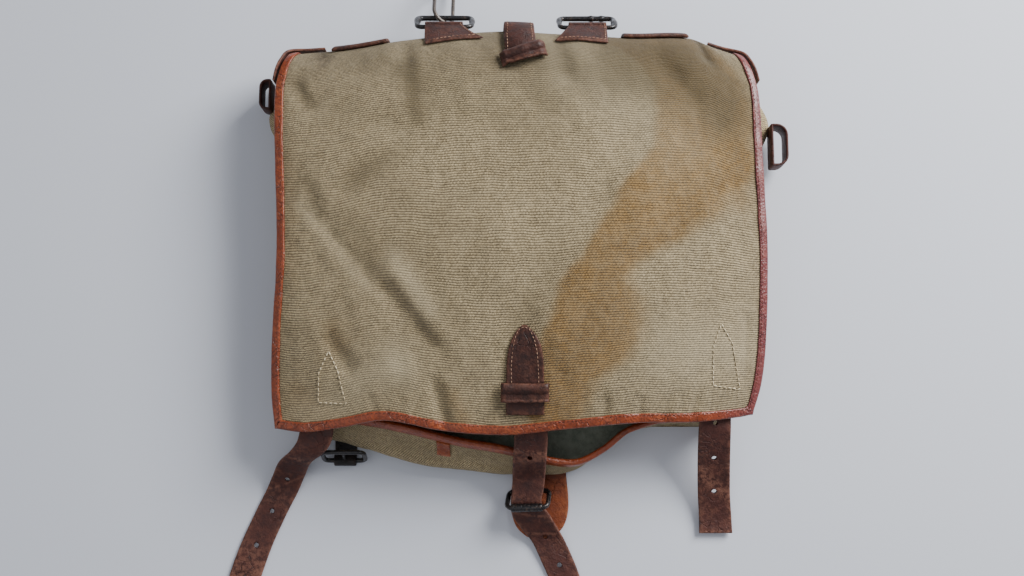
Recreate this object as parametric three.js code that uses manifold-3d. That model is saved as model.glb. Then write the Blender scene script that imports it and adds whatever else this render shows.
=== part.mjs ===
import * as THREE from "three";
import { mergeVertices } from "three/addons/utils/BufferGeometryUtils.js";
import Module from "manifold-3d";

// A canvas field pack lying on its back, its flap upwards and its straps towards -Y.
// Millimetres, +Z up. The origin is the middle of the back panel's underside.

// Materials' thicknesses and the gap between touching pieces
const CLOTH = 1.6;
const STRAP_LEATHER = 2.2;
const TRIM_LEATHER = 1.8;
const BINDING_LEATHER = 1.2;
const CLEARANCE = 0.3;
const FLOOR_GAP = 0.1;

// Back panel and gusset
const BACK_WIDTH = 304;
const BACK_LENGTH = 252;
const BACK_CORNER = 28;
const GUSSET_INSET = 3;
const GUSSET_TOP_INSET = 4.6;
const MOUTH_HEIGHT = 31;
const BOTTOM_BULGE = 35;
const GUSSET_COLUMNS = 54;
const GUSSET_ROWS = 6;

// Flap. Its front reaches from over the back panel's top edge to over its bottom edge.
const FLAP_WIDTH = 325;
const FLAP_LENGTH = BACK_LENGTH;
const FOLD_REACH = 16;
const FLAP_ROOT_INSET = 2;
const PACK_DEPTH = 61;
const EDGE_POWER = 3;
const FLAP_COLUMNS = 26;
const FLAP_ROWS = 27;

// Leather binding on cut edges
const BINDING_WIDTH = 4.6;
const BINDING_GAP = 0.8;

// Gaps under leather that lies on the slack cloth, and under what bridges its folds
const SEAT = 0.5;
const BRIDGE_SEAT = 0.9;

// Straps
const STRAP_WIDTH = 22.5;
const STRAP_ROOT = 26;
const LEFT_STRAP_REACH = 126;
const CENTRE_STRAP_REACH = 118;
const RIGHT_STRAP_REACH = 79;
const STRAP_HOLE = 3.4;

// Front tab and its keeper
const TAB_WIDTH = 25;
const TAB_LENGTH = 57;
const TAB_ACROSS = 4;
const TAB_END_INSET = 11;
const KEEPER_WIDTH = 28.5;
const KEEPER_BAND = 12;
const KEEPER_LEATHER = 1.8;

// Metal buckles
const WIRE = 3.2;
const WIRE_SIDES = 6;
const BUCKLE_WIDTH = 31;
const BUCKLE_DEPTH = 19;
const BUCKLE_CORNER = 4;
const ROLLER = 5.6;
const ROLLER_LENGTH = 21;
const PRONG = 2.2;
const PRONG_LENGTH = 11;
const LEFT_BUCKLE_OUT = 6.9;

// Leather that holds the centre and left buckles
const CHAPE_WIDTH = 15;
const TONGUE_WIDTH = 39;
const TONGUE_LENGTH = 74;

// Metal loops at the top fold, with their leather and the wire ring
const TOP_LOOP_WIDTH = 41;
const TOP_LOOP_DEPTH = 21;
const TOP_CHAPE_WIDTH = 26;
const TOP_CHAPE_LANDING = 10;
const TOP_CHAPE_TAIL = 14;
const RING_WIDTH = 16;
const RING_LENGTH = 40;
const RING_WIRE = 2.8;
const RING_ASIDE = 1.5;

// Top strap and its keeper
const TOP_STRAP_WIDTH = 21;
const TOP_STRAP_LENGTH = 24;
const TOP_STRAP_SLACK = 4;
const TOP_KEEPER_WIDTH = 27;
const TOP_KEEPER_BAND = 10.5;
const TOP_KEEPER_LEATHER = 2.6;

// Leather patches, side loops and corner strips
const PATCH_LEATHER = 2.6;
const RIGHT_LOOP_DOWN = 59;
const RIGHT_LOOP_LENGTH = 30;
const RIGHT_LOOP_REACH = 11;
const LEFT_LOOP_DOWN = 23;
const LEFT_LOOP_LENGTH = 22;
const LEFT_LOOP_REACH = 7.5;
const SIDE_LOOP_BAND = 15;
const SIDE_LOOP_LIFT = 9;
const CORNER_STRIP_BAND = 12;
const BINDING_TAB_WIDTH = 9;
const BINDING_TAB_LENGTH = 9;

// The flap's section from its root on the back panel, over the top fold, to its bottom edge.
// back is the share of the way in to the root, down the share of the front's length,
// crown and edge the height at the middle and at the sides as a share of the depth.
const FLAP_SECTIONS = [
  { at: 0.0, back: 1.0, down: 0.0, crown: 0.0, edge: 0.0 },
  { at: 0.06, back: 0.5, down: 0.0, crown: 0.2, edge: 0.2 },
  { at: 0.12, back: 0.08, down: 0.0, crown: 0.44, edge: 0.41 },
  { at: 0.18, back: 0.0, down: 0.006, crown: 0.68, edge: 0.56 },
  { at: 0.24, back: 0.0, down: 0.03, crown: 0.83, edge: 0.64 },
  { at: 0.32, back: 0.0, down: 0.09, crown: 0.92, edge: 0.67 },
  { at: 0.42, back: 0.0, down: 0.2, crown: 0.965, edge: 0.68 },
  { at: 0.55, back: 0.0, down: 0.38, crown: 1.0, edge: 0.66 },
  { at: 0.68, back: 0.0, down: 0.57, crown: 1.0, edge: 0.63 },
  { at: 0.8, back: 0.0, down: 0.74, crown: 0.95, edge: 0.58 },
  { at: 0.9, back: 0.0, down: 0.87, crown: 0.86, edge: 0.53 },
  { at: 1.0, back: 0.0, down: 1.0, crown: 0.71, edge: 0.48 },
];
const FRONT_FROM = 0.18;
const FOLDS_FROM = 0.17;
const FOLDS_FULL = 0.26;
const HEM_FROM = 0.72;

// How far the top fold stands out past the back panel, as a share of FOLD_REACH.
const FOLD_LINE = [
  { across: -1.0, reach: 0.1 },
  { across: -0.73, reach: 0.28 },
  { across: -0.5, reach: 0.62 },
  { across: -0.1, reach: 1.0 },
  { across: 0.15, reach: 0.9 },
  { across: 0.5, reach: 0.72 },
  { across: 0.76, reach: 0.76 },
  { across: 0.87, reach: 0.4 },
  { across: 1.0, reach: 0.02 },
];

// The flap's half width on each side, as a share of FLAP_WIDTH / 2.
const FLAP_SIDES = [
  { down: 0.0, left: 0.955, right: 0.93 },
  { down: 0.05, left: 0.99, right: 0.965 },
  { down: 0.12, left: 1.008, right: 0.99 },
  { down: 0.3, left: 1.0, right: 1.0 },
  { down: 0.55, left: 0.985, right: 1.012 },
  { down: 0.8, left: 1.0, right: 1.0 },
  { down: 0.92, left: 0.998, right: 0.98 },
  { down: 1.0, left: 0.985, right: 0.945 },
];

// The bottom edge: drop is a share of FLAP_LENGTH, lift a share of PACK_DEPTH.
const FLAP_HEM = [
  { across: -1.0, drop: 0.002, lift: 0.0 },
  { across: -0.88, drop: 0.011, lift: 0.0 },
  { across: -0.73, drop: 0.0, lift: 0.03 },
  { across: -0.55, drop: -0.018, lift: 0.06 },
  { across: -0.32, drop: 0.008, lift: 0.0 },
  { across: -0.06, drop: 0.019, lift: -0.04 },
  { across: 0.17, drop: 0.006, lift: 0.0 },
  { across: 0.5, drop: -0.012, lift: 0.03 },
  { across: 0.74, drop: -0.014, lift: 0.02 },
  { across: 0.95, drop: -0.028, lift: 0.0 },
  { across: 1.0, drop: -0.034, lift: 0.0 },
];

// Main folds and dents of the flap, each along a line: across is a share of the half width,
// down and width are shares of FLAP_LENGTH, height is a share of PACK_DEPTH.
const FLAP_FOLDS = [
  { name: "long diagonal ridge", across: 0.76, down: 0.15, toAcross: 0.16, toDown: 0.78, width: 0.08, height: 0.07 },
  { name: "valley beside it", across: 0.62, down: 0.12, toAcross: 0.0, toDown: 0.74, width: 0.05, height: -0.05 },
  { name: "left ridge", across: -0.5, down: 0.63, toAcross: -0.33, toDown: 0.77, width: 0.035, height: 0.05 },
  { name: "crease under it", across: -0.53, down: 0.67, toAcross: -0.34, toDown: 0.8, width: 0.022, height: -0.05 },
  { name: "left upper crease", across: -0.87, down: 0.4, toAcross: -0.6, toDown: 0.62, width: 0.03, height: -0.035 },
  { name: "left corner crease", across: -0.92, down: 0.11, toAcross: -0.85, toDown: 0.17, width: 0.022, height: -0.03 },
  { name: "valley left of strap", across: -0.1, down: 0.0, toAcross: -0.05, toDown: 0.1, width: 0.03, height: -0.05 },
  { name: "valley right of strap", across: 0.16, down: 0.0, toAcross: 0.18, toDown: 0.12, width: 0.03, height: -0.05 },
  { name: "soft upright fold", across: -0.48, down: 0.05, toAcross: -0.43, toDown: 0.16, width: 0.028, height: -0.04 },
  { name: "bottom crease", across: -0.34, down: 0.9, toAcross: -0.3, toDown: 1.0, width: 0.02, height: -0.035 },
  { name: "low left crease", across: -0.76, down: 0.78, toAcross: -0.68, toDown: 0.86, width: 0.02, height: -0.035 },
  { name: "left dimple", across: -0.84, down: 0.025, toAcross: -0.83, toDown: 0.03, width: 0.02, height: -0.05 },
  { name: "right dimple", across: 0.8, down: 0.02, toAcross: 0.8, toDown: 0.06, width: 0.02, height: -0.06 },
];

// The gusset, clockwise from the middle of the top side. bulge and mouth are how far the wall
// and its edge stand out past the seam, as shares of BOTTOM_BULGE, and height is the edge's
// height as a share of MOUTH_HEIGHT.
const GUSSET_SECTIONS = [
  { round: 0.0, bulge: 0.0, mouth: 0.0, height: 1.3 },
  { round: 0.1, bulge: 0.0, mouth: -0.03, height: 1.25 },
  { round: 0.135, bulge: 0.22, mouth: -0.08, height: 1.13 },
  { round: 0.168, bulge: 0.8, mouth: -0.11, height: 1.03 },
  { round: 0.195, bulge: 0.5, mouth: -0.12, height: 1.0 },
  { round: 0.25, bulge: 0.2, mouth: -0.12, height: 1.0 },
  { round: 0.33, bulge: 0.18, mouth: -0.12, height: 0.9 },
  { round: 0.365, bulge: 0.1, mouth: -0.1, height: 0.72 },
  { round: 0.4, bulge: 0.04, mouth: -0.08, height: 0.72 },
  { round: 0.43, bulge: 0.18, mouth: 0.16, height: 0.74 },
  { round: 0.446, bulge: 0.52, mouth: 0.52, height: 0.66 },
  { round: 0.463, bulge: 0.88, mouth: 0.76, height: 0.62 },
  { round: 0.484, bulge: 1.0, mouth: 0.7, height: 0.7 },
  { round: 0.51, bulge: 1.0, mouth: 0.5, height: 0.8 },
  { round: 0.54, bulge: 0.93, mouth: 0.34, height: 0.85 },
  { round: 0.57, bulge: 0.8, mouth: 0.12, height: 0.88 },
  { round: 0.6, bulge: 0.54, mouth: -0.05, height: 0.85 },
  { round: 0.622, bulge: 0.36, mouth: -0.1, height: 0.75 },
  { round: 0.65, bulge: 0.18, mouth: -0.12, height: 0.85 },
  { round: 0.75, bulge: 0.2, mouth: -0.12, height: 1.0 },
  { round: 0.805, bulge: 0.35, mouth: -0.12, height: 1.0 },
  { round: 0.836, bulge: 0.8, mouth: -0.1, height: 1.05 },
  { round: 0.868, bulge: 0.1, mouth: -0.1, height: 1.1 },
  { round: 0.9, bulge: 0.0, mouth: -0.03, height: 1.25 },
  { round: 1.0, bulge: 0.0, mouth: 0.0, height: 1.3 },
];

// The gusset wall from its seam to its edge: rise is how much of the stand-out it has,
// lean how much of that is the edge's own, up the share of the height.
const GUSSET_WALL = [
  { at: 0.0, rise: 0.0, lean: 0.0, up: 0.0 },
  { at: 0.15, rise: 0.55, lean: 0.0, up: 0.05 },
  { at: 0.35, rise: 1.0, lean: 0.08, up: 0.26 },
  { at: 0.55, rise: 1.0, lean: 0.4, up: 0.52 },
  { at: 0.8, rise: 1.0, lean: 0.82, up: 0.8 },
  { at: 1.0, rise: 1.0, lean: 1.0, up: 1.0 },
];

// The straps past the flap's bottom edge. out and side are shares of the strap's reach,
// lift is the share of the height that it leaves the flap at, wide is a share of STRAP_WIDTH,
// and roll is how far its right edge is raised, as a share of its width.
const LEFT_STRAP = [
  { out: 0.0, side: 0.0, lift: 1.0, wide: 1.04, roll: 0.0 },
  { out: 0.08, side: -0.02, lift: 0.9, wide: 1.05, roll: 0.02 },
  { out: 0.135, side: -0.06, lift: 0.78, wide: 1.08, roll: 0.08 },
  { out: 0.19, side: -0.135, lift: 0.5, wide: 1.0, roll: 0.1 },
  { out: 0.26, side: -0.18, lift: 0.2, wide: 0.98, roll: 0.03 },
  { out: 0.35, side: -0.225, lift: 0.03, wide: 0.98, roll: 0.0 },
  { out: 0.45, side: -0.275, lift: 0.0, wide: 0.97, roll: 0.0 },
  { out: 0.62, side: -0.35, lift: 0.0, wide: 0.97, roll: 0.0 },
  { out: 0.78, side: -0.405, lift: 0.0, wide: 0.97, roll: 0.0 },
  { out: 0.9, side: -0.435, lift: 0.0, wide: 0.9, roll: 0.0 },
  { out: 0.96, side: -0.448, lift: 0.0, wide: 0.6, roll: 0.0 },
  { out: 1.0, side: -0.455, lift: 0.0, wide: 0.1, roll: 0.0 },
];
const CENTRE_STRAP = [
  { out: 0.0, side: 0.0, lift: 1.0, wide: 0.98, roll: 0.0 },
  { out: 0.07, side: 0.0, lift: 0.93, wide: 0.98, roll: 0.0 },
  { out: 0.16, side: -0.005, lift: 0.78, wide: 0.98, roll: 0.03 },
  { out: 0.26, side: -0.01, lift: 0.46, wide: 0.98, roll: 0.12 },
  { out: 0.34, side: -0.014, lift: 0.34, wide: 0.96, roll: 0.2 },
  { out: 0.425, side: -0.024, lift: 0.31, wide: 0.93, roll: 0.2 },
  { out: 0.49, side: 0.0, lift: 0.25, wide: 1.12, roll: 0.14 },
  { out: 0.57, side: 0.05, lift: 0.14, wide: 1.1, roll: 0.04 },
  { out: 0.65, side: 0.105, lift: 0.04, wide: 1.0, roll: 0.0 },
  { out: 0.78, side: 0.165, lift: 0.005, wide: 0.98, roll: 0.0 },
  { out: 0.88, side: 0.205, lift: 0.0, wide: 0.9, roll: 0.0 },
  { out: 0.955, side: 0.232, lift: 0.0, wide: 0.6, roll: 0.0 },
  { out: 1.0, side: 0.245, lift: 0.0, wide: 0.1, roll: 0.0 },
];
const RIGHT_STRAP = [
  { out: 0.0, side: 0.0, lift: 1.0, wide: 0.98, roll: 0.0 },
  { out: 0.15, side: -0.005, lift: 0.9, wide: 0.98, roll: 0.0 },
  { out: 0.4, side: 0.005, lift: 0.55, wide: 0.97, roll: 0.0 },
  { out: 0.65, side: 0.02, lift: 0.24, wide: 0.97, roll: 0.0 },
  { out: 0.85, side: 0.035, lift: 0.09, wide: 0.98, roll: 0.0 },
  { out: 1.0, side: 0.04, lift: 0.06, wide: 1.0, roll: 0.0 },
];

// Punched holes, as shares of each strap's reach.
const LEFT_HOLES = [0.28, 0.45, 0.63, 0.8];
const CENTRE_HOLES = [0.17, 0.62, 0.78];
const RIGHT_HOLES = [0.08, 0.36, 0.64];

// Where the straps leave the flap, as shares of its half width.
const LEFT_STRAP_ACROSS = -0.84;
const CENTRE_STRAP_ACROSS = 0.05;
const RIGHT_STRAP_ACROSS = 0.85;

// Half width of a pointed tab and of the rounded tongue, as shares of their own width.
const POINTED = [
  { along: 0.0, half: 0.05 },
  { along: 0.1, half: 0.27 },
  { along: 0.24, half: 0.42 },
  { along: 0.42, half: 0.48 },
  { along: 1.0, half: 0.5 },
];
const LEAF = [
  { along: 0.0, half: 0.42 },
  { along: 0.4, half: 0.46 },
  { along: 0.7, half: 0.5 },
  { along: 0.88, half: 0.42 },
  { along: 0.97, half: 0.24 },
  { along: 1.0, half: 0.06 },
];

const UP = new THREE.Vector3(0, 0, 1);
const RIGHT = new THREE.Vector3(1, 0, 0);
const BACK_TOP = BACK_LENGTH / 2;
const HALF_FLAP = FLAP_WIDTH / 2;
const FLAP_ROOT = BACK_TOP - FLAP_ROOT_INSET;
const ROOT_HEIGHT = CLOTH + CLEARANCE + CLOTH / 2;
const STRAP_FLOOR = STRAP_LEATHER / 2 + FLOOR_GAP;
const TRIM_FLOOR = TRIM_LEATHER / 2 + FLOOR_GAP;
const CHAPE_FLOOR = TRIM_FLOOR + TRIM_LEATHER + CLEARANCE;
const UNDER_FLAP = CLOTH / 2 + BINDING_GAP + BINDING_LEATHER + CLEARANCE + STRAP_LEATHER / 2;

// A smooth curve through one column of a table, by the values of another.
function curve(rows, key, column) {
  const x = rows.map((row) => row[key]);
  const y = rows.map((row) => row[column]);
  const last = x.length - 1;
  const slope = x.map((_, i) => {
    const a = Math.max(i - 1, 0);
    const b = Math.min(i + 1, last);
    return (y[b] - y[a]) / (x[b] - x[a]);
  });
  return (at) => {
    const p = Math.min(Math.max(at, x[0]), x[last]);
    let i = 0;
    while (i < last - 1 && p > x[i + 1]) i += 1;
    const span = x[i + 1] - x[i];
    const s = (p - x[i]) / span;
    const rise = s * s * (3 - 2 * s);
    const leave = s * (1 - s) * (1 - s) * span;
    const arrive = s * s * (s - 1) * span;
    return y[i] * (1 - rise) + y[i + 1] * rise + slope[i] * leave + slope[i + 1] * arrive;
  };
}

function ramp(at, from, to) {
  const s = Math.min(Math.max((at - from) / (to - from), 0), 1);
  return s * s * (3 - 2 * s);
}

// A closed geometry from its points and triangles, turned so that its faces point out.
function closedGeometry(points, triangles) {
  let volume = 0;
  const cross = new THREE.Vector3();
  for (let i = 0; i < triangles.length; i += 3) {
    const [a, b, c] = [points[triangles[i]], points[triangles[i + 1]], points[triangles[i + 2]]];
    volume += cross.crossVectors(b, c).dot(a);
  }
  if (volume < 0) triangles.reverse();
  const geometry = new THREE.BufferGeometry().setFromPoints(points);
  geometry.setIndex(triangles);
  geometry.computeVertexNormals();
  return geometry;
}

// The normal of a surface of two shares, from small steps inside its range.
function normalAt(surface, i, j, closed) {
  const step = 1e-3;
  const wrap = (s) => (s % 1 + 1) % 1;
  const [i0, i1] = closed ? [wrap(i - step), wrap(i + step)] : [Math.max(i - step, 0), Math.min(i + step, 1)];
  const [j0, j1] = [Math.max(j - step, 0), Math.min(j + step, 1)];
  const across = surface(i1, j).sub(surface(i0, j));
  const along = surface(i, j1).sub(surface(i, j0));
  return across.cross(along).normalize();
}

// A sheet of even thickness about a middle surface, closed on itself round its first share or not.
function sheet(columns, rows, middle, thickness, closed = false) {
  const across = closed ? columns : columns + 1;
  const points = [];
  for (const side of [0.5, -0.5])
    for (let j = 0; j <= rows; j += 1)
      for (let i = 0; i < across; i += 1) {
        const at = middle(i / columns, j / rows);
        const normal = normalAt(middle, i / columns, j / rows, closed);
        points.push(at.addScaledVector(normal, side * thickness));
      }
  const triangles = [];
  const at = (side, i, j) => (side * (rows + 1) + j) * across + (i % across);
  const quad = (a, b, c, d) => triangles.push(a, b, c, a, c, d);
  for (let i = 0; i < columns; i += 1) {
    for (let j = 0; j < rows; j += 1) {
      quad(at(0, i, j), at(0, i + 1, j), at(0, i + 1, j + 1), at(0, i, j + 1));
      quad(at(1, i, j), at(1, i, j + 1), at(1, i + 1, j + 1), at(1, i + 1, j));
    }
    quad(at(1, i, 0), at(1, i + 1, 0), at(0, i + 1, 0), at(0, i, 0));
    quad(at(0, i, rows), at(0, i + 1, rows), at(1, i + 1, rows), at(1, i, rows));
  }
  if (!closed)
    for (let j = 0; j < rows; j += 1) {
      quad(at(0, 0, j), at(0, 0, j + 1), at(1, 0, j + 1), at(1, 0, j));
      quad(at(0, columns, j + 1), at(0, columns, j), at(1, columns, j), at(1, columns, j + 1));
    }
  return closedGeometry(points, triangles);
}

// A flat outline of [out, up] pairs carried along frames of { at, out, up }.
function carried(outline, frames, closed = false) {
  const points = frames.flatMap(({ at, out, up }) =>
    outline.map(([o, u]) => at.clone().addScaledVector(out, o).addScaledVector(up, u)),
  );
  const n = outline.length;
  const triangles = [];
  const spans = closed ? frames.length : frames.length - 1;
  for (let k = 0; k < spans; k += 1)
    for (let i = 0; i < n; i += 1) {
      const [a, b] = [k * n + i, k * n + ((i + 1) % n)];
      const next = ((k + 1) % frames.length) * n;
      const [c, d] = [next + ((i + 1) % n), next + i];
      triangles.push(a, b, c, a, c, d);
    }
  if (!closed) {
    const flat = outline.map(([o, u]) => new THREE.Vector2(o, u));
    const turned = THREE.ShapeUtils.isClockWise(flat);
    const end = (frames.length - 1) * n;
    for (const face of THREE.ShapeUtils.triangulateShape(flat, [])) {
      const [a, b, c] = face;
      const lies = turnOf(flat, face) > 0 !== turned;
      const [p, q] = lies ? [b, c] : [c, b];
      triangles.push(a, q, p, end + a, end + p, end + q);
    }
  }
  return closedGeometry(points, triangles);
}

function turnOf(flat, [a, b, c]) {
  return flat[b].clone().sub(flat[a]).cross(flat[c].clone().sub(flat[a]));
}

function circle(radius, sides) {
  return Array.from({ length: sides }, (_, i) => {
    const angle = (2 * Math.PI * (i + 0.5)) / sides;
    return [radius * Math.cos(angle), radius * Math.sin(angle)];
  });
}

// Frames along a list of points whose second axis stays as near as it can to up.
function framesAlong(points, up, closed = false) {
  const n = points.length;
  return points.map((at, i) => {
    const before = points[closed ? (i - 1 + n) % n : Math.max(i - 1, 0)];
    const after = points[closed ? (i + 1) % n : Math.min(i + 1, n - 1)];
    const along = after.clone().sub(before).normalize();
    const out = along.clone().cross(up).normalize();
    return { at, out, up: out.clone().cross(along).normalize() };
  });
}

// A straight round bar.
function bar(radius, sides, from, to) {
  const up = Math.abs(to.clone().sub(from).normalize().z) > 0.9 ? RIGHT : UP;
  return carried(circle(radius, sides), framesAlong([from, to], up));
}

// A rounded rectangle of wire about a centre, across and deep along two unit axes.
function wireFrame({ centre, across, deep, width, depth, corner, wire }) {
  const outline = new THREE.Path();
  const [w, d] = [(width - wire) / 2, (depth - wire) / 2];
  const quarter = Math.PI / 2;
  outline.absarc(w - corner, d - corner, corner, 0, quarter, false);
  outline.absarc(corner - w, d - corner, corner, quarter, 2 * quarter, false);
  outline.absarc(corner - w, corner - d, corner, 2 * quarter, 3 * quarter, false);
  outline.absarc(w - corner, corner - d, corner, 3 * quarter, 4 * quarter, false);
  const arcs = outline.curves.filter((part) => part.isEllipseCurve);
  const points = arcs.flatMap((arc) => arc.getPoints(2)).map((p) =>
    centre.clone().addScaledVector(across, p.x).addScaledVector(deep, p.y),
  );
  const up = across.clone().cross(deep).normalize();
  return carried(circle(wire / 2, WIRE_SIDES), framesAlong(points, up, true), true);
}

// An oval of wire: two half circles joined by straight legs.
function wireOval({ centre, across, deep, width, length, wire }) {
  const radius = width / 2;
  const leg = length / 2 - radius;
  const steps = 7;
  const points = [];
  for (const end of [1, -1])
    for (let i = 0; i <= steps; i += 1) {
      const angle = (Math.PI * i) / steps;
      const x = end * radius * Math.cos(angle);
      const y = end * (leg + radius * Math.sin(angle));
      points.push(centre.clone().addScaledVector(across, x).addScaledVector(deep, y));
    }
  const up = across.clone().cross(deep).normalize();
  return carried(circle(wire / 2, WIRE_SIDES), framesAlong(points, up, true), true);
}

// A ribbon between two edge lines, given row by row as a middle, a direction across and a width.
function ribbon(rows, thickness, steps, columns = 1) {
  const edge = (side) =>
    new THREE.CatmullRomCurve3(
      rows.map((row) => row.middle.clone().addScaledVector(row.across, (side * row.width) / 2)),
      false,
      "catmullrom",
      0.5,
    );
  const [left, right] = [edge(-1), edge(1)];
  const middle = (i, j) => left.getPoint(j).lerp(right.getPoint(j), i);
  return { middle, geometry: sheet(columns, steps, middle, thickness) };
}

// The flap

const sectionBack = curve(FLAP_SECTIONS, "at", "back");
const sectionDown = curve(FLAP_SECTIONS, "at", "down");
const sectionCrown = curve(FLAP_SECTIONS, "at", "crown");
const sectionEdge = curve(FLAP_SECTIONS, "at", "edge");
const foldReach = curve(FOLD_LINE, "across", "reach");
const leftSide = curve(FLAP_SIDES, "down", "left");
const rightSide = curve(FLAP_SIDES, "down", "right");
const hemDrop = curve(FLAP_HEM, "across", "drop");
const hemLift = curve(FLAP_HEM, "across", "lift");

// How much the folds add at a place, as a share of PACK_DEPTH.
function foldHeight(across, down) {
  const [x, y] = [across * HALF_FLAP, down * FLAP_LENGTH];
  return FLAP_FOLDS.reduce((sum, fold) => {
    const [ax, ay] = [fold.across * HALF_FLAP, fold.down * FLAP_LENGTH];
    const [bx, by] = [fold.toAcross * HALF_FLAP - ax, fold.toDown * FLAP_LENGTH - ay];
    const s = Math.min(Math.max(((x - ax) * bx + (y - ay) * by) / (bx * bx + by * by), 0), 1);
    const off = Math.hypot(x - ax - s * bx, y - ay - s * by) / (fold.width * FLAP_LENGTH);
    return sum + fold.height * Math.exp(-off * off);
  }, 0);
}

// The middle of the flap's cloth, by shares across it and along its section.
function flapPoint(across, at) {
  const down = Math.max(sectionDown(at), 0);
  const back = sectionBack(at);
  const side = (across + 1) / 2;
  const half = HALF_FLAP * (leftSide(down) * (1 - side) + rightSide(down) * side);
  const top = BACK_TOP + FOLD_REACH * foldReach(across);
  const bottom = BACK_TOP - FLAP_LENGTH * (1 + hemDrop(across));
  const y = top * (1 - back) + FLAP_ROOT * back - down * (top - bottom);
  const slack = Math.abs(across) ** EDGE_POWER;
  const height =
    sectionCrown(at) * (1 - slack) +
    sectionEdge(at) * slack +
    hemLift(across) * ramp(at, HEM_FROM, 1) +
    foldHeight(across, down) * ramp(at, FOLDS_FROM, FOLDS_FULL);
  return new THREE.Vector3(across * half, y, ROOT_HEIGHT + (PACK_DEPTH - ROOT_HEIGHT) * height);
}

const flapMiddle = (i, j) => flapPoint(2 * i - 1, j);

// The same surface as its mesh has it, with straight lines between the corners of its cells.
const flapGrid = Array.from({ length: FLAP_ROWS + 1 }, (_, j) =>
  Array.from({ length: FLAP_COLUMNS + 1 }, (_, i) => flapMiddle(i / FLAP_COLUMNS, j / FLAP_ROWS)),
);

function flapFacet(across, at) {
  const [u, v] = [((across + 1) / 2) * FLAP_COLUMNS, at * FLAP_ROWS];
  const i = Math.min(Math.max(Math.floor(u), 0), FLAP_COLUMNS - 1);
  const j = Math.min(Math.max(Math.floor(v), 0), FLAP_ROWS - 1);
  const upper = flapGrid[j][i].clone().lerp(flapGrid[j][i + 1], u - i);
  const lower = flapGrid[j + 1][i].clone().lerp(flapGrid[j + 1][i + 1], u - i);
  return upper.lerp(lower, v - j);
}

function flapNormal(across, at) {
  return normalAt(flapMiddle, (across + 1) / 2, at).negate();
}

// The shares of the flap's front at a place in plan.
function flapShares(x, y) {
  let across = x / HALF_FLAP;
  let at = FRONT_FROM;
  for (let pass = 0; pass < 5; pass += 1) {
    let [low, high] = [FRONT_FROM, 1];
    for (let k = 0; k < 20; k += 1) {
      at = (low + high) / 2;
      if (flapFacet(across, at).y > y) low = at;
      else high = at;
    }
    across += (x - flapFacet(across, at).x) / HALF_FLAP;
    across = Math.min(Math.max(across, -1), 1);
  }
  return { across, at };
}

// A point that far off the flap's front.
function onFlap(x, y, lift) {
  const { across, at } = flapShares(x, y);
  return flapFacet(across, at).addScaledVector(flapNormal(across, at), lift);
}

// A point that far off the flap, by its own shares, so on its fold and back too.
function offFlap(across, at, lift) {
  return flapFacet(across, at).addScaledVector(flapNormal(across, at), lift);
}

// The outline of leather folded over a cut edge: a U round the cloth.
const BINDING_INNER = CLOTH / 2 + BINDING_GAP;
const BINDING_OUTER = BINDING_INNER + BINDING_LEATHER;
const BINDING_REACH = SEAT + BINDING_LEATHER;
const BINDING_OUTLINE = [
  [-BINDING_WIDTH, BINDING_INNER],
  [-BINDING_WIDTH, BINDING_OUTER],
  [BINDING_REACH, BINDING_OUTER * 0.7],
  [BINDING_REACH, -BINDING_OUTER * 0.7],
  [-BINDING_WIDTH, -BINDING_OUTER],
  [-BINDING_WIDTH, -BINDING_INNER],
  [SEAT, -BINDING_INNER],
  [SEAT, BINDING_INNER],
];

// A frame at an edge point: out along the last cell, up square to it on the normal's side.
function edgeFrame(at, out, normal) {
  const up = normal.addScaledVector(out, -normal.dot(out)).normalize();
  return { at, out, up };
}

// The flap's edge from the root up over the fold, down the left, along the bottom and back.
function flapEdgeFrames() {
  const [last, rows] = [FLAP_COLUMNS, FLAP_ROWS];
  const outAcross = (i, j) => flapGrid[j][i].clone().sub(flapGrid[j][i === 0 ? 1 : last - 1]).normalize();
  const outDown = (i) => flapGrid[rows][i].clone().sub(flapGrid[rows - 1][i]).normalize();
  const frame = (i, j) => {
    const normal = flapNormal((2 * i) / last - 1, j / rows);
    const side = i === 0 || i === last;
    if (!side) return edgeFrame(flapGrid[j][i], outDown(i), normal);
    if (j < rows) return edgeFrame(flapGrid[j][i], outAcross(i, j), normal);
    const corner = edgeFrame(flapGrid[j][i], outAcross(i, j).add(outDown(i)).normalize(), normal);
    corner.out.multiplyScalar(Math.SQRT2);
    return corner;
  };
  const down = Array.from({ length: rows }, (_, j) => frame(0, j));
  const along = Array.from({ length: last + 1 }, (_, i) => frame(i, rows));
  const up = Array.from({ length: rows }, (_, j) => frame(last, rows - 1 - j));
  return [...down, ...along, ...up];
}

// The gusset

const HALF_GUSSET = BACK_WIDTH / 2 - GUSSET_INSET;
const GUSSET_TOP = BACK_TOP - GUSSET_TOP_INSET;
const GUSSET_BOTTOM = GUSSET_INSET - BACK_LENGTH / 2;

// The outline of a rounded rectangle, clockwise from the middle of its top side.
function roundedOutline(half, top, bottom, corner) {
  const quarter = Math.PI / 2;
  const outline = new THREE.Path();
  outline.moveTo(0, top);
  outline.lineTo(half - corner, top);
  outline.absarc(half - corner, top - corner, corner, quarter, 0, true);
  outline.absarc(half - corner, bottom + corner, corner, 0, -quarter, true);
  outline.absarc(corner - half, bottom + corner, corner, -quarter, -2 * quarter, true);
  outline.absarc(corner - half, top - corner, corner, 2 * quarter, quarter, true);
  outline.lineTo(0, top);
  return outline;
}

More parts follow.
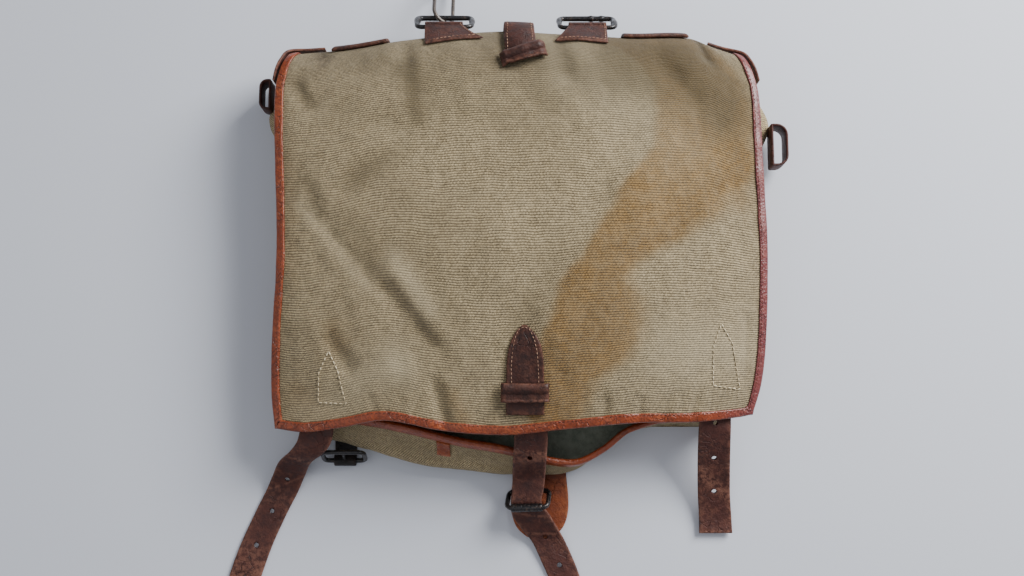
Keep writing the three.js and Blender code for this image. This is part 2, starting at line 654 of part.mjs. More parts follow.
const gussetSeam = roundedOutline(HALF_GUSSET, GUSSET_TOP, GUSSET_BOTTOM, BACK_CORNER - GUSSET_INSET);
const gussetBulge = curve(GUSSET_SECTIONS, "round", "bulge");
const gussetMouth = curve(GUSSET_SECTIONS, "round", "mouth");
const gussetHeight = curve(GUSSET_SECTIONS, "round", "height");
const wallRise = curve(GUSSET_WALL, "at", "rise");
const wallLean = curve(GUSSET_WALL, "at", "lean");
const wallUp = curve(GUSSET_WALL, "at", "up");

// The middle of the gusset's cloth, by shares round it and up it.
function gussetPoint(round, at) {
  const seam = gussetSeam.getPoint(round);
  const along = gussetSeam.getTangent(round);
  const lean = wallLean(at);
  const stand = gussetBulge(round) * (1 - lean) + gussetMouth(round) * lean;
  const out = BOTTOM_BULGE * wallRise(at) * stand;
  const z = ROOT_HEIGHT + MOUTH_HEIGHT * gussetHeight(round) * wallUp(at);
  return new THREE.Vector3(seam.x - along.y * out, seam.y + along.x * out, z);
}

function gussetNormal(round, at) {
  return normalAt(gussetPoint, round, at, true);
}

// The same surface as its mesh has it.
const gussetGrid = Array.from({ length: GUSSET_ROWS + 1 }, (_, j) =>
  Array.from({ length: GUSSET_COLUMNS }, (_, i) => gussetPoint(i / GUSSET_COLUMNS, j / GUSSET_ROWS)),
);

function gussetFacet(round, at) {
  const u = (((round % 1) + 1) % 1) * GUSSET_COLUMNS;
  const v = at * GUSSET_ROWS;
  const i = Math.floor(u) % GUSSET_COLUMNS;
  const next = (i + 1) % GUSSET_COLUMNS;
  const j = Math.min(Math.floor(v), GUSSET_ROWS - 1);
  const lower = gussetGrid[j][i].clone().lerp(gussetGrid[j][next], u - i);
  const upper = gussetGrid[j + 1][i].clone().lerp(gussetGrid[j + 1][next], u - i);
  return lower.lerp(upper, v - j);
}

function offGusset(round, at, lift) {
  return gussetPoint(round, at).addScaledVector(gussetNormal(round, at), lift);
}

// How long the wall is from its edge down to a share of it, for each unit of that share.
const wallSpeed = (round, at) => gussetPoint(round, 1).distanceTo(gussetPoint(round, at)) / (1 - at);

function mouthFrames() {
  return Array.from({ length: GUSSET_COLUMNS }, (_, i) => {
    const round = i / GUSSET_COLUMNS;
    const at = gussetPoint(round, 1);
    const inside = gussetPoint(round, 1 - BINDING_WIDTH / wallSpeed(round, 0.8));
    const out = at.clone().sub(inside).normalize();
    return edgeFrame(at, out, gussetNormal(round, 1));
  });
}

function backPanel() {
  const half = BACK_WIDTH / 2;
  const outline = roundedOutline(half, BACK_TOP, -BACK_LENGTH / 2, BACK_CORNER);
  const shape = new THREE.Shape(outline.getPoints(5).slice(0, -1).reverse());
  return new THREE.ExtrudeGeometry(shape, { depth: CLOTH, bevelEnabled: false });
}

// Leather on the flap's front

// A strip on the flap from one place in plan to another, by a table of half widths.
function flapStrip({ from, to, width, outline, lift, thickness, columns, rows }) {
  const along = to.clone().sub(from);
  const side = new THREE.Vector2(along.y, -along.x).normalize();
  const half = outline ? curve(outline, "along", "half") : () => 0.5;
  const middle = (i, j) => {
    const off = (2 * i - 1) * half(j) * width;
    const at = from.clone().addScaledVector(along, j).addScaledVector(side, off);
    return onFlap(at.x, at.y, lift(off));
  };
  return sheet(columns, rows, middle, thickness);
}

// How high a band lies that passes over a strip and comes down beside it.
function bandLift(leather, stripWidth, stripLeather) {
  const low = CLOTH / 2 + SEAT + leather / 2;
  const step = stripLeather + BRIDGE_SEAT;
  const shoulder = stripWidth / 2 + 2 * SEAT;
  return (off) => low + step * (1 - ramp(Math.abs(off), shoulder, shoulder + step));
}

const flapHem = (across) => flapPoint(across, 1).y;
const tabEnd = flapHem(TAB_ACROSS / HALF_FLAP) + TAB_END_INSET;

function frontTab() {
  return flapStrip({
    from: new THREE.Vector2(TAB_ACROSS, tabEnd + TAB_LENGTH),
    to: new THREE.Vector2(TAB_ACROSS, tabEnd),
    width: TAB_WIDTH,
    outline: POINTED,
    lift: () => CLOTH / 2 + SEAT + TRIM_LEATHER / 2,
    thickness: TRIM_LEATHER,
    columns: 4,
    rows: 10,
  });
}

function frontKeeper() {
  const low = tabEnd + TAB_LENGTH * 0.15;
  const middle = TAB_ACROSS;
  return flapStrip({
    from: new THREE.Vector2(middle, low + KEEPER_BAND),
    to: new THREE.Vector2(middle, low),
    width: KEEPER_WIDTH + 2 * TRIM_LEATHER,
    lift: bandLift(KEEPER_LEATHER, TAB_WIDTH, TRIM_LEATHER),
    thickness: KEEPER_LEATHER,
    columns: 12,
    rows: 2,
  });
}

const TOP_STRAP_ACROSS = -1.5;
const TOP_STRAP_SKEW = 0.18;
const TOP_KEEPER_TURN = 0.27;
const LOOSE_SHARE = 0.62;

// A strip over the top fold, from behind it to the front, by the flap's own shares. Over the
// loose share of its length it stands off the fold by its slack.
function overFold({ across, skew, width, fromAt, toAt, lift, slack, thickness, columns, rows }) {
  const middle = (i, j) => {
    const at = fromAt + (toAt - fromAt) * j;
    const x = across + skew * width * j + (i - 0.5) * width;
    const loose = Math.sin(Math.PI * Math.min(j / LOOSE_SHARE, 1)) ** 2;
    return offFlap(x / HALF_FLAP, at, lift + slack * loose);
  };
  return sheet(columns, rows, middle, thickness);
}

const topStrapEnd = flapShares(TOP_STRAP_ACROSS, BACK_TOP + FOLD_REACH - TOP_STRAP_LENGTH).at;

function topStrap() {
  return overFold({
    across: TOP_STRAP_ACROSS,
    skew: TOP_STRAP_SKEW,
    width: TOP_STRAP_WIDTH,
    fromAt: 0.1,
    toAt: topStrapEnd,
    lift: CLOTH / 2 + BRIDGE_SEAT + STRAP_LEATHER / 2,
    slack: TOP_STRAP_SLACK,
    thickness: STRAP_LEATHER,
    columns: 3,
    rows: 10,
  });
}

function topKeeper() {
  const centre = new THREE.Vector2(
    TOP_STRAP_ACROSS + TOP_STRAP_SKEW * TOP_STRAP_WIDTH,
    BACK_TOP + FOLD_REACH - TOP_STRAP_LENGTH + TOP_KEEPER_BAND * 0.1,
  );
  const half = new THREE.Vector2(Math.sin(TOP_KEEPER_TURN), -Math.cos(TOP_KEEPER_TURN));
  half.multiplyScalar(TOP_KEEPER_BAND / 2);
  const spread = TOP_STRAP_WIDTH / Math.cos(TOP_KEEPER_TURN);
  return flapStrip({
    from: centre.clone().sub(half),
    to: centre.clone().add(half),
    width: Math.max(TOP_KEEPER_WIDTH, spread) + 2 * STRAP_LEATHER,
    lift: bandLift(TOP_KEEPER_LEATHER, spread, STRAP_LEATHER),
    thickness: TOP_KEEPER_LEATHER,
    columns: 12,
    rows: 2,
  });
}

// Patches behind the top fold: between two shares across the flap.
function topPatch(fromAcross, toAcross, fromAt, toAt) {
  const middle = (i, j) => {
    const across = fromAcross + (toAcross - fromAcross) * i;
    const round = 1 - 0.35 * (2 * i - 1) ** 6;
    const at = toAt + (fromAt - toAt) * j * round;
    return offFlap(across, at, CLOTH / 2 + BRIDGE_SEAT + PATCH_LEATHER / 2);
  };
  return sheet(7, 3, middle, PATCH_LEATHER);
}

// Straps

// The middle of a strap under the flap and its direction across, following the cloth.
function underFlap(x, y, width) {
  const left = onFlap(x - width / 2, y, -UNDER_FLAP);
  const right = onFlap(x + width / 2, y, -UNDER_FLAP);
  return { middle: left.clone().lerp(right, 0.5), across: right.sub(left).normalize(), width };
}

// The rows of a strap: under the flap from its root, then past the hem by its table.
function strapRows(across, reach, table, rootSide) {
  const hem = flapPoint(across, 1);
  const wide = STRAP_WIDTH * table[0].wide;
  const under = [1, 0.75, 0.5, 0.25].map((s) => s * STRAP_ROOT);
  const rows = under.map((back) => underFlap(hem.x + rootSide * back, hem.y + back, wide));
  const start = underFlap(hem.x, hem.y + BINDING_REACH, wide);
  for (const row of table) {
    const slope = (start.across.z / start.across.x) * (1 - ramp(row.out * reach, 0, STRAP_WIDTH)) + row.roll;
    const lift = row.lift * (start.middle.z - STRAP_FLOOR) + Math.abs(row.roll * STRAP_WIDTH) / 2;
    const middle = start.middle.clone();
    middle.set(middle.x + row.side * reach, middle.y - row.out * reach, STRAP_FLOOR + lift);
    rows.push({ middle, across: new THREE.Vector3(1, 0, slope).normalize(), width: STRAP_WIDTH * row.wide });
  }
  return rows;
}

// Cuts round holes through a strap where its table says.
function punched(strap, rows, holes) {
  const count = rows.length - 1;
  const table = rows.length - strap.table.length;
  const shares = holes.map((out) => {
    const k = strap.table.findIndex((row) => row.out > out);
    const [a, b] = [strap.table[k - 1].out, strap.table[k].out];
    return (table + k - 1 + (out - a) / (b - a)) / count;
  });
  const cutters = shares.map((j) => {
    const at = strap.middle(0.5, j);
    const normal = normalAt(strap.middle, 0.5, j).multiplyScalar(2 * STRAP_LEATHER);
    return bar(STRAP_HOLE / 2, 8, at.clone().sub(normal), at.clone().add(normal));
  });
  return cut(strap.geometry, cutters);
}

const wasm = await Module();
wasm.setup();

function toSolid(geometry) {
  const bare = geometry.clone();
  bare.deleteAttribute("normal");
  if (bare.getAttribute("uv")) bare.deleteAttribute("uv");
  const merged = mergeVertices(bare, 1e-4);
  return new wasm.Manifold(
    new wasm.Mesh({
      numProp: 3,
      vertProperties: new Float32Array(merged.attributes.position.array),
      triVerts: new Uint32Array(merged.index.array),
    }),
  );
}

function cut(geometry, cutters) {
  let solid = toSolid(geometry);
  for (const cutter of cutters) solid = solid.subtract(toSolid(cutter));
  const mesh = solid.getMesh();
  const made = new THREE.BufferGeometry();
  made.setAttribute("position", new THREE.BufferAttribute(mesh.vertProperties, 3));
  made.setIndex(new THREE.BufferAttribute(mesh.triVerts, 1));
  made.computeVertexNormals();
  return made;
}

function strap(across, reach, table, holes, rootSide) {
  const rows = strapRows(across, reach, table, rootSide);
  const made = ribbon(rows, STRAP_LEATHER, 24, 1);
  return punched({ ...made, table }, rows, holes);
}

// Buckles

const BACK_BOTTOM = -BACK_LENGTH / 2;
const BUCKLE_SPAN = BUCKLE_DEPTH - WIRE;
const BAR_TO_LEATHER = WIRE / 2 + CLEARANCE + TRIM_LEATHER / 2;
const centreHem = flapPoint(CENTRE_STRAP_ACROSS, 1);

// The centre buckle lies tilted on the strap, its heel bar low and its roller raised.
const CENTRE_HEEL = new THREE.Vector3(
  centreHem.x - 0.005 * CENTRE_STRAP_REACH,
  centreHem.y - 0.335 * CENTRE_STRAP_REACH,
  WIRE / 2 + 2 * TRIM_LEATHER + 2 * CLEARANCE + FLOOR_GAP + 1.6,
);
const centreAcross = new THREE.Vector3(0.975, 0.03, 0.2).normalize();
const centreDeep = new THREE.Vector3(-0.16, -0.68, 0.72);
centreDeep.addScaledVector(centreAcross, -centreDeep.dot(centreAcross)).normalize();
const centreProng = new THREE.Vector3(0, -1, 0);
const centreFront = CENTRE_HEEL.clone().addScaledVector(centreDeep, BUCKLE_SPAN);

// The left buckle stands almost on edge on the floor, just out from the gusset's wall.
const LEFT_BUCKLE_ACROSS = -0.726;
const leftAcross = RIGHT.clone();
const leftDeep = new THREE.Vector3(0, 0.34, 0.94).normalize();
const LEFT_HEEL = new THREE.Vector3(
  LEFT_BUCKLE_ACROSS * HALF_FLAP,
  besideWall(LEFT_BUCKLE_ACROSS * HALF_FLAP) - LEFT_BUCKLE_OUT,
  WIRE / 2 + TRIM_LEATHER + CLEARANCE + FLOOR_GAP + 0.4,
);

function buckle(heel, across, deep) {
  const centre = heel.clone().addScaledVector(deep, BUCKLE_SPAN / 2);
  const [width, depth, corner, wire] = [BUCKLE_WIDTH, BUCKLE_DEPTH, BUCKLE_CORNER, WIRE];
  return wireFrame({ centre, across, deep, width, depth, corner, wire });
}

// A tube round the front bar.
function roller(front, across) {
  const inner = (WIRE / 2 + CLEARANCE) / Math.cos(Math.PI / 10);
  const [outer, half] = [ROLLER / 2, ROLLER_LENGTH / 2];
  const profile = [
    new THREE.Vector2(inner, -half),
    new THREE.Vector2(outer, -half),
    new THREE.Vector2(outer, half),
    new THREE.Vector2(inner, half),
    new THREE.Vector2(inner, -half),
  ];
  const tube = new THREE.LatheGeometry(profile, 10);
  tube.applyQuaternion(new THREE.Quaternion().setFromUnitVectors(new THREE.Vector3(0, 1, 0), across));
  return tube.translate(front.x, front.y, front.z);
}

// A plain pin from the heel bar, under the strap.
function prong(heel, towards, length) {
  const start = WIRE / 2 + CLEARANCE;
  const from = heel.clone().addScaledVector(towards, start);
  const to = heel.clone().addScaledVector(towards, start + length);
  return bar(PRONG / 2, 6, from, to);
}

// A half circle round a bar in the plane of two axes, from one side to the other.
function roundBar(centre, first, outward, radius, steps) {
  return Array.from({ length: steps + 1 }, (_, k) => {
    const angle = (Math.PI * k) / steps;
    const at = centre.clone().addScaledVector(first, radius * Math.cos(angle));
    return at.addScaledVector(outward, radius * Math.sin(angle));
  });
}

// How far the gusset's bottom wall comes out at a place across it.
function wallFront(x) {
  const rounds = Array.from({ length: 60 }, (_, k) => 0.38 + 0.004 * k);
  const near = rounds.filter((round) => Math.abs(gussetSeam.getPoint(round).x - x) < CHAPE_WIDTH);
  const rows = Array.from({ length: 11 }, (_, k) => k / 10);
  return Math.min(...near.flatMap((round) => rows.map((at) => gussetPoint(round, at).y))) - CLOTH / 2;
}

function besideWall(x) {
  return wallFront(x) - SEAT - TRIM_LEATHER / 2;
}

const BESIDE_PANEL = BACK_BOTTOM - CLEARANCE - TRIM_LEATHER / 2;

// Leather from the gusset's bottom wall, round the heel bar and back on top of itself,
// with a slot where the prong leaves the bar.
function floorChape(heel, across, floor, prongAlong, start) {
  const outward = new THREE.Vector3(0, -1, 0);
  const down = UP.clone().negate();
  const reach = heel.y - start;
  const back = heel.y - besideWall(heel.x);
  const low = [0, 0.35, 0.7].map((s) => new THREE.Vector3(heel.x, start + s * reach, floor));
  const loop = roundBar(heel, down, outward, BAR_TO_LEATHER, 6);
  const high = floor + TRIM_LEATHER + 2 * CLEARANCE;
  const top = [
    new THREE.Vector3(heel.x, heel.y - 0.3 * back, Math.max(high, heel.z + BAR_TO_LEATHER * 0.6)),
    new THREE.Vector3(heel.x, heel.y - 0.8 * back, high),
  ];
  const flat = (middle) => ({ middle, across: RIGHT, width: CHAPE_WIDTH });
  const tilted = (middle) => ({ middle, across, width: CHAPE_WIDTH });
  const rows = [...low.map(flat), ...loop.map(tilted), tilted(top[0]), flat(top[1])];
  const past = heel.clone().addScaledVector(prongAlong, 2 * WIRE + BAR_TO_LEATHER);
  const slot = bar(PRONG / 2 + CLEARANCE, 8, heel, past);
  return cut(ribbon(rows, TRIM_LEATHER, 20).geometry, [slot]);
}

// The wide rounded tongue that lies on the floor under the centre buckle.
function tongue() {
  const half = curve(LEAF, "along", "half");
  const middle = (i, j) => {
    const off = (2 * i - 1) * half(j) * TONGUE_WIDTH;
    const x = CENTRE_HEEL.x + TONGUE_WIDTH * 0.18 + off;
    return new THREE.Vector3(x, BESIDE_PANEL - j * TONGUE_LENGTH, TRIM_FLOOR);
  };
  return sheet(4, 10, middle, TRIM_LEATHER);
}

// Loops, chapes and the ring at the top fold

const topLoopDeep = new THREE.Vector3(0, 0.64, -0.77).normalize();
const TOP_LOOP_LEFT_ACROSS = -54 / HALF_FLAP;
const TOP_LOOP_RIGHT_ACROSS = 50 / HALF_FLAP;
const TOP_LOOP_AT = 0.16;

// How far the fold stands out, over the width of what is fastened there.
function foldOver(across, width) {
  const shares = [-0.5, 0, 0.5].map((s) => across + (s * width) / HALF_FLAP);
  return BACK_TOP + FOLD_REACH * Math.max(...shares.map(foldReach));
}

// The middle of the bar that the chape holds, just outside the fold.
function topBar(across) {
  const off = CLOTH / 2 + SEAT + TRIM_LEATHER + CLEARANCE + WIRE / 2 + CLEARANCE;
  const fold = flapPoint(across, TOP_LOOP_AT);
  return new THREE.Vector3(fold.x, foldOver(across, TOP_CHAPE_WIDTH) + off, fold.z + WIRE / 2);
}

function topLoop(across) {
  const span = TOP_LOOP_DEPTH - WIRE;
  const centre = topBar(across).addScaledVector(topLoopDeep, span / 2);
  return wireFrame({
    centre,
    across: RIGHT,
    deep: topLoopDeep,
    width: TOP_LOOP_WIDTH,
    depth: TOP_LOOP_DEPTH,
    corner: BUCKLE_CORNER,
    wire: WIRE,
  });
}

// Leather from the flap's front, over the bar, round it and down behind the fold. Its landing
// on the flap is wider than its loop and set to one side.
function topChape(across, landing) {
  const centre = topBar(across);
  const lift = CLOTH / 2 + BRIDGE_SEAT + TRIM_LEATHER / 2;
  const loop = roundBar(centre, UP, new THREE.Vector3(0, 1, 0), BAR_TO_LEATHER, 6);
  const behind = new THREE.Vector3(0, -BAR_TO_LEATHER * 0.96, -BAR_TO_LEATHER);
  const tail = [0.3, 0.8].map((s) => centre.clone().add(behind).addScaledVector(UP, -s * TOP_CHAPE_TAIL));
  const lines = new Map();
  const line = (i) => {
    if (lines.has(i)) return lines.get(i);
    const narrow = (i - 0.5) * TOP_CHAPE_WIDTH;
    const wide = narrow * landing.wide + landing.side * TOP_CHAPE_WIDTH;
    const front = (off, down) => {
      const x = centre.x + off;
      return onFlap(x, BACK_TOP + FOLD_REACH * foldReach(x / HALF_FLAP) - down, lift);
    };
    const landed = [front(wide, TOP_CHAPE_LANDING), front((wide + narrow) / 2, TOP_CHAPE_LANDING * 0.5)];
    const held = [...loop, ...tail].map((at) => at.clone().addScaledVector(RIGHT, narrow));
    const made = new THREE.CatmullRomCurve3([...landed, ...held], false, "catmullrom", 0.5);
    lines.set(i, made);
    return made;
  };
  return sheet(5, 16, (i, j) => line(i).getPoint(j), TRIM_LEATHER);
}

// The ring hangs round the left loop's far bar, rolled so that the bar passes through it.
function wireRing() {
  const bar = topBar(TOP_LOOP_LEFT_ACROSS).addScaledVector(topLoopDeep, TOP_LOOP_DEPTH - WIRE);
  const drop = (bar.z - RING_WIRE - RING_WIDTH * 0.3) / RING_LENGTH;
  const deep = new THREE.Vector3(0, Math.sqrt(1 - drop * drop), -drop);
  const roll = 0.68;
  const side = RIGHT.clone().multiplyScalar(Math.cos(roll));
  const across = side.addScaledVector(deep.clone().cross(RIGHT), Math.sin(roll));
  const past = WIRE / 2 + RING_WIRE / 2 + 2 * CLEARANCE;
  const centre = bar.clone().addScaledVector(deep, RING_LENGTH / 2 - past);
  centre.x -= RING_ASIDE;
  return wireOval({ centre, across, deep, width: RING_WIDTH, length: RING_LENGTH, wire: RING_WIRE });
}

// Loops on the gusset's sides: a band bent to a D whose straight side lies on the wall.

function sideReach(side, fromRound, toRound) {
  const steps = Array.from({ length: 25 }, (_, k) => k / 24);
  const walls = steps.flatMap((s) =>
    steps.map((at) => gussetFacet(fromRound + (toRound - fromRound) * s, at)),
  );
  const beside = walls.filter((p) => p.z > SIDE_LOOP_LIFT && p.z < SIDE_LOOP_LIFT + SIDE_LOOP_BAND);
  return Math.max(...beside.map((p) => side * p.x)) + CLOTH / 2;
}

function roundAtRight(y) {
  let [low, high] = [0.1, 0.4];
  for (let k = 0; k < 30; k += 1) {
    const middle = (low + high) / 2;
    if (gussetSeam.getPoint(middle).y > y) low = middle;
    else high = middle;
  }
  return low;
}

function sideLoop(side, centreY, length, reach) {
  const [top, bottom] = [roundAtRight(centreY + length / 2), roundAtRight(centreY - length / 2)];
  const wall = side > 0 ? sideReach(side, top, bottom) : sideReach(side, 1 - bottom, 1 - top);
  const base = wall + SEAT + TRIM_LEATHER / 2;
  const outline = new THREE.Path();
  const half = length / 2 - TRIM_LEATHER / 2;
  const round = Math.min(reach - TRIM_LEATHER / 2, half) * 0.62;
  const far = reach - TRIM_LEATHER / 2;
  outline.moveTo(0, -half);
  outline.lineTo(far - round, -half);
  outline.absarc(far - round, round - half, round, -Math.PI / 2, 0, false);
  outline.absarc(far - round, half - round, round, 0, Math.PI / 2, false);
  outline.lineTo(0, half);
  const plan = outline.getPoints(4).filter((p, k, all) => k === 0 || p.distanceTo(all[k - 1]) > 0.5);
  const points = plan.map((p) => new THREE.Vector3(side * (base + p.x), centreY + p.y, 0));
  const z = SIDE_LOOP_LIFT + SIDE_LOOP_BAND / 2;
  points.forEach((p) => p.setZ(z));
  const [t, h] = [TRIM_LEATHER / 2, SIDE_LOOP_BAND / 2];
  const outlineBand = [[-t, -h], [t, -h], [t, h], [-t, h]];
  return carried(outlineBand, framesAlong(points, UP, true), true);
}

const RIGHT_LOOP_Y = BACK_TOP - RIGHT_LOOP_DOWN;
const LEFT_LOOP_Y = BACK_TOP - LEFT_LOOP_DOWN;

// A strip outside the flap's binding, round the fold's corner and down the side.
const CORNER_STRIP = [
  { across: 0.86, at: 0.15, drop: 0.3 },
  { across: 0.93, at: 0.15, drop: 0.28 },
  { across: 1.0, at: 0.17, drop: 0.25 },
  { across: 1.0, at: 0.225, drop: 0.25 },
  { across: 1.0, at: 0.27, drop: 0.35 },
  { across: 1.0, at: 0.31, drop: 0.5 },
];

function cornerStrip(side) {
  const off = BINDING_OUTER + SEAT + TRIM_LEATHER / 2;
  const rows = CORNER_STRIP.map(({ across, at, drop }) => {
    const edge = flapPoint(side * across, at);
    const turn = across < 1 ? 0 : Math.min((at - 0.15) / 0.05, 1);
    const angle = (Math.PI / 2) * turn;
    edge.x += side * off * Math.sin(angle);
    edge.y += off * Math.cos(angle);
    edge.z -= drop * CORNER_STRIP_BAND;
    return { middle: edge, across: UP, width: CORNER_STRIP_BAND * (0.55 + 0.45 * turn) };
  });
  return ribbon(rows, TRIM_LEATHER, 12).geometry;
}

// The small tab stitched on the gusset under the mouth binding.
function bindingTab() {
  const round = 0.548;
  const wall = wallSpeed(round, 0.8);
  const along = gussetPoint(round + 0.01, 1).distanceTo(gussetPoint(round, 1)) / 0.01;
  const top = 1 - (BINDING_WIDTH + SEAT) / wall;
  const middle = (i, j) => {
    const at = top - (j * BINDING_TAB_LENGTH) / wall;
    const here = round + ((i - 0.5) * BINDING_TAB_WIDTH) / along;
    return offGusset(here, at, CLOTH / 2 + CLEARANCE + TRIM_LEATHER / 2);
  };
  return sheet(3, 4, middle, TRIM_LEATHER);
}

// Materials and assembly

const canvas = { color: 0x7f7353, roughness: 0.92, metalness: 0 };
const darkCanvas = { color: 0x6d6652, roughness: 0.94, metalness: 0 };
const bindingLeather = { color: 0x7a3218, roughness: 0.42, metalness: 0 };
const strapLeather = { color: 0x4d2a22, roughness: 0.5, metalness: 0 };
const tongueLeather = { color: 0x8a451c, roughness: 0.55, metalness: 0 };
const tabLeather = { color: 0x43221d, roughness: 0.48, metalness: 0 };
const blackMetal = { color: 0x1b1b1d, roughness: 0.4, metalness: 0.85 };
const greyWire = { color: 0x6f6a62, roughness: 0.5, metalness: 0.8 };

const pack = new THREE.Group();

function add(name, geometry, material) {
  const mesh = new THREE.Mesh(geometry, new THREE.MeshStandardMaterial(material));
  mesh.name = name;
  pack.add(mesh);
}

add("back_panel", backPanel(), darkCanvas);
add("gusset", sheet(GUSSET_COLUMNS, GUSSET_ROWS, gussetPoint, CLOTH, true), darkCanvas);
add("mouth_binding", carried(BINDING_OUTLINE, mouthFrames(), true), bindingLeather);
add("binding_tab", bindingTab(), bindingLeather);
add("flap", sheet(FLAP_COLUMNS, FLAP_ROWS, flapMiddle, CLOTH), canvas);
add("flap_binding", carried(BINDING_OUTLINE, flapEdgeFrames()), bindingLeather);
add("front_tab", frontTab(), tabLeather);
add("front_keeper", frontKeeper(), tabLeather);
const leftStrap = strap(LEFT_STRAP_ACROSS, LEFT_STRAP_REACH, LEFT_STRAP, LEFT_HOLES, 0.3);
const centreStrap = strap(CENTRE_STRAP_ACROSS, CENTRE_STRAP_REACH, CENTRE_STRAP, CENTRE_HOLES, -0.1);
const rightStrap = strap(RIGHT_STRAP_ACROSS, RIGHT_STRAP_REACH, RIGHT_STRAP, RIGHT_HOLES, 0.15);
add("strap_left", leftStrap, strapLeather);
add("strap_centre", centreStrap, strapLeather);
add("strap_right", rightStrap, strapLeather);
add("buckle_centre", buckle(CENTRE_HEEL, centreAcross, centreDeep), blackMetal);
add("roller_centre", roller(centreFront, centreAcross), blackMetal);
add("prong_centre", prong(CENTRE_HEEL, centreProng, PRONG_LENGTH), blackMetal);
add("tongue_centre", tongue(), tongueLeather);
add(
  "chape_centre",
  floorChape(CENTRE_HEEL, centreAcross, CHAPE_FLOOR, centreProng, besideWall(CENTRE_HEEL.x)),
  tongueLeather,
);
add("buckle_left", buckle(LEFT_HEEL, leftAcross, leftDeep), blackMetal);
add("prong_left", prong(LEFT_HEEL, leftDeep, PRONG_LENGTH), blackMetal);
add("chape_left", floorChape(LEFT_HEEL, leftAcross, TRIM_FLOOR, leftDeep, BESIDE_PANEL), strapLeather);
add("top_loop_left", topLoop(TOP_LOOP_LEFT_ACROSS), blackMetal);
add("top_loop_right", topLoop(TOP_LOOP_RIGHT_ACROSS), blackMetal);
add("top_chape_left", topChape(TOP_LOOP_LEFT_ACROSS, { wide: 1.5, side: 0.3 }), tabLeather);
add("top_chape_right", topChape(TOP_LOOP_RIGHT_ACROSS, { wide: 1.4, side: -0.2 }), tabLeather);
add("wire_ring", wireRing(), greyWire);
add("top_strap", topStrap(), strapLeather);
add("top_keeper", topKeeper(), tabLeather);
add("top_patch_left", topPatch(-0.81, -0.57, 0.1, 0.21), tabLeather);
add("top_patch_right", topPatch(0.46, 0.75, 0.1, 0.21), tabLeather);
add("side_loop_left", sideLoop(-1, LEFT_LOOP_Y, LEFT_LOOP_LENGTH, LEFT_LOOP_REACH), strapLeather);
add("side_loop_right", sideLoop(1, RIGHT_LOOP_Y, RIGHT_LOOP_LENGTH, RIGHT_LOOP_REACH), strapLeather);
add("corner_strip_left", cornerStrip(-1), strapLeather);
add("corner_strip_right", cornerStrip(1), strapLeather);

export default pack;
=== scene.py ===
# %% [markdown]
# # A canvas field pack with leather trim
# The pack lies on its back on a pale floor. One large slack flap is folded over at the top and
# bound in leather, and a shallow canvas tray lies under it. Everything here is in millimetres
# while it is worked out, and becomes metres when a mesh is made.

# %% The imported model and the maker's tools
import math

import bpy
import numpy as np
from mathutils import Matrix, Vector


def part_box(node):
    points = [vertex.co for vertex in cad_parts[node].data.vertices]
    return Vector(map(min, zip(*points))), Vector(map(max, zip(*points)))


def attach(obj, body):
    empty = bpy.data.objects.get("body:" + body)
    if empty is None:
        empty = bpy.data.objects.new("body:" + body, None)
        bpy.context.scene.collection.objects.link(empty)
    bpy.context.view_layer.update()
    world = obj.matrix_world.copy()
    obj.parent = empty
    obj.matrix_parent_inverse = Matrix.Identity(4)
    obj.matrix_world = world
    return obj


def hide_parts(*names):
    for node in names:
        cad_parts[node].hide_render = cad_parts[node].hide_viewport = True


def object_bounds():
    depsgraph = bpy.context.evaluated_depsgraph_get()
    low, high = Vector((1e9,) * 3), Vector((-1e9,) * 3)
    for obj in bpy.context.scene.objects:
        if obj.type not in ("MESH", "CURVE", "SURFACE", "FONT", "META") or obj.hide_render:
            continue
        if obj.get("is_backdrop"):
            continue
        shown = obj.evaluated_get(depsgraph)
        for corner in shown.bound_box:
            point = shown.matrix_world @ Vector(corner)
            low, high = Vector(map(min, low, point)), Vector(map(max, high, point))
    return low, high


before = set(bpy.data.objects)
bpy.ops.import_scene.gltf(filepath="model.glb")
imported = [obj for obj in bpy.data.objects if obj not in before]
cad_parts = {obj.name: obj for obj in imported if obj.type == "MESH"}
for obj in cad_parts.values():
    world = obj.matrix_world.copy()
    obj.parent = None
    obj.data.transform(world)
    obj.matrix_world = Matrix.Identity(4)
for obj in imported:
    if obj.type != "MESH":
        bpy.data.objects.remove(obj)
cad_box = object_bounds()
MM, RIM_WEAR = 0.001, 1.6
print("CAD box, mm:", [[round(v / MM, 1) for v in corner] for corner in cad_box])

# %% [markdown]
# ## The camera
# The photo looks down on the pack, leaning a few degrees towards its lower edge, so the gusset
# shows under the flap at the bottom. The lens is a moderate one, and the frame cuts off the
# two long straps.

# %% Camera
camera = bpy.data.objects.new("camera", bpy.data.cameras.new("camera"))
bpy.context.scene.collection.objects.link(camera)
camera.data.sensor_width = 36.0
camera.data.lens = 41.84
camera.data.clip_start = 0.01
camera.location = (-0.0046, -0.1453, 0.8227)
camera.rotation_euler = (math.radians(8.0), 0.0, 0.0)
bpy.context.scene.camera = camera
print("camera", tuple(round(v, 3) for v in camera.location))

# %% [markdown]
# ## Curves through tables, and sheets with rounded rims
# Cloth and leather are both sheets. Each is a middle surface of two shares, i across and j
# along, with half its thickness on either side. The thickness runs out in a quarter circle
# at the rim, as a cut edge that has been rubbed does, and there the two faces share their
# corners, so that each sheet is closed.


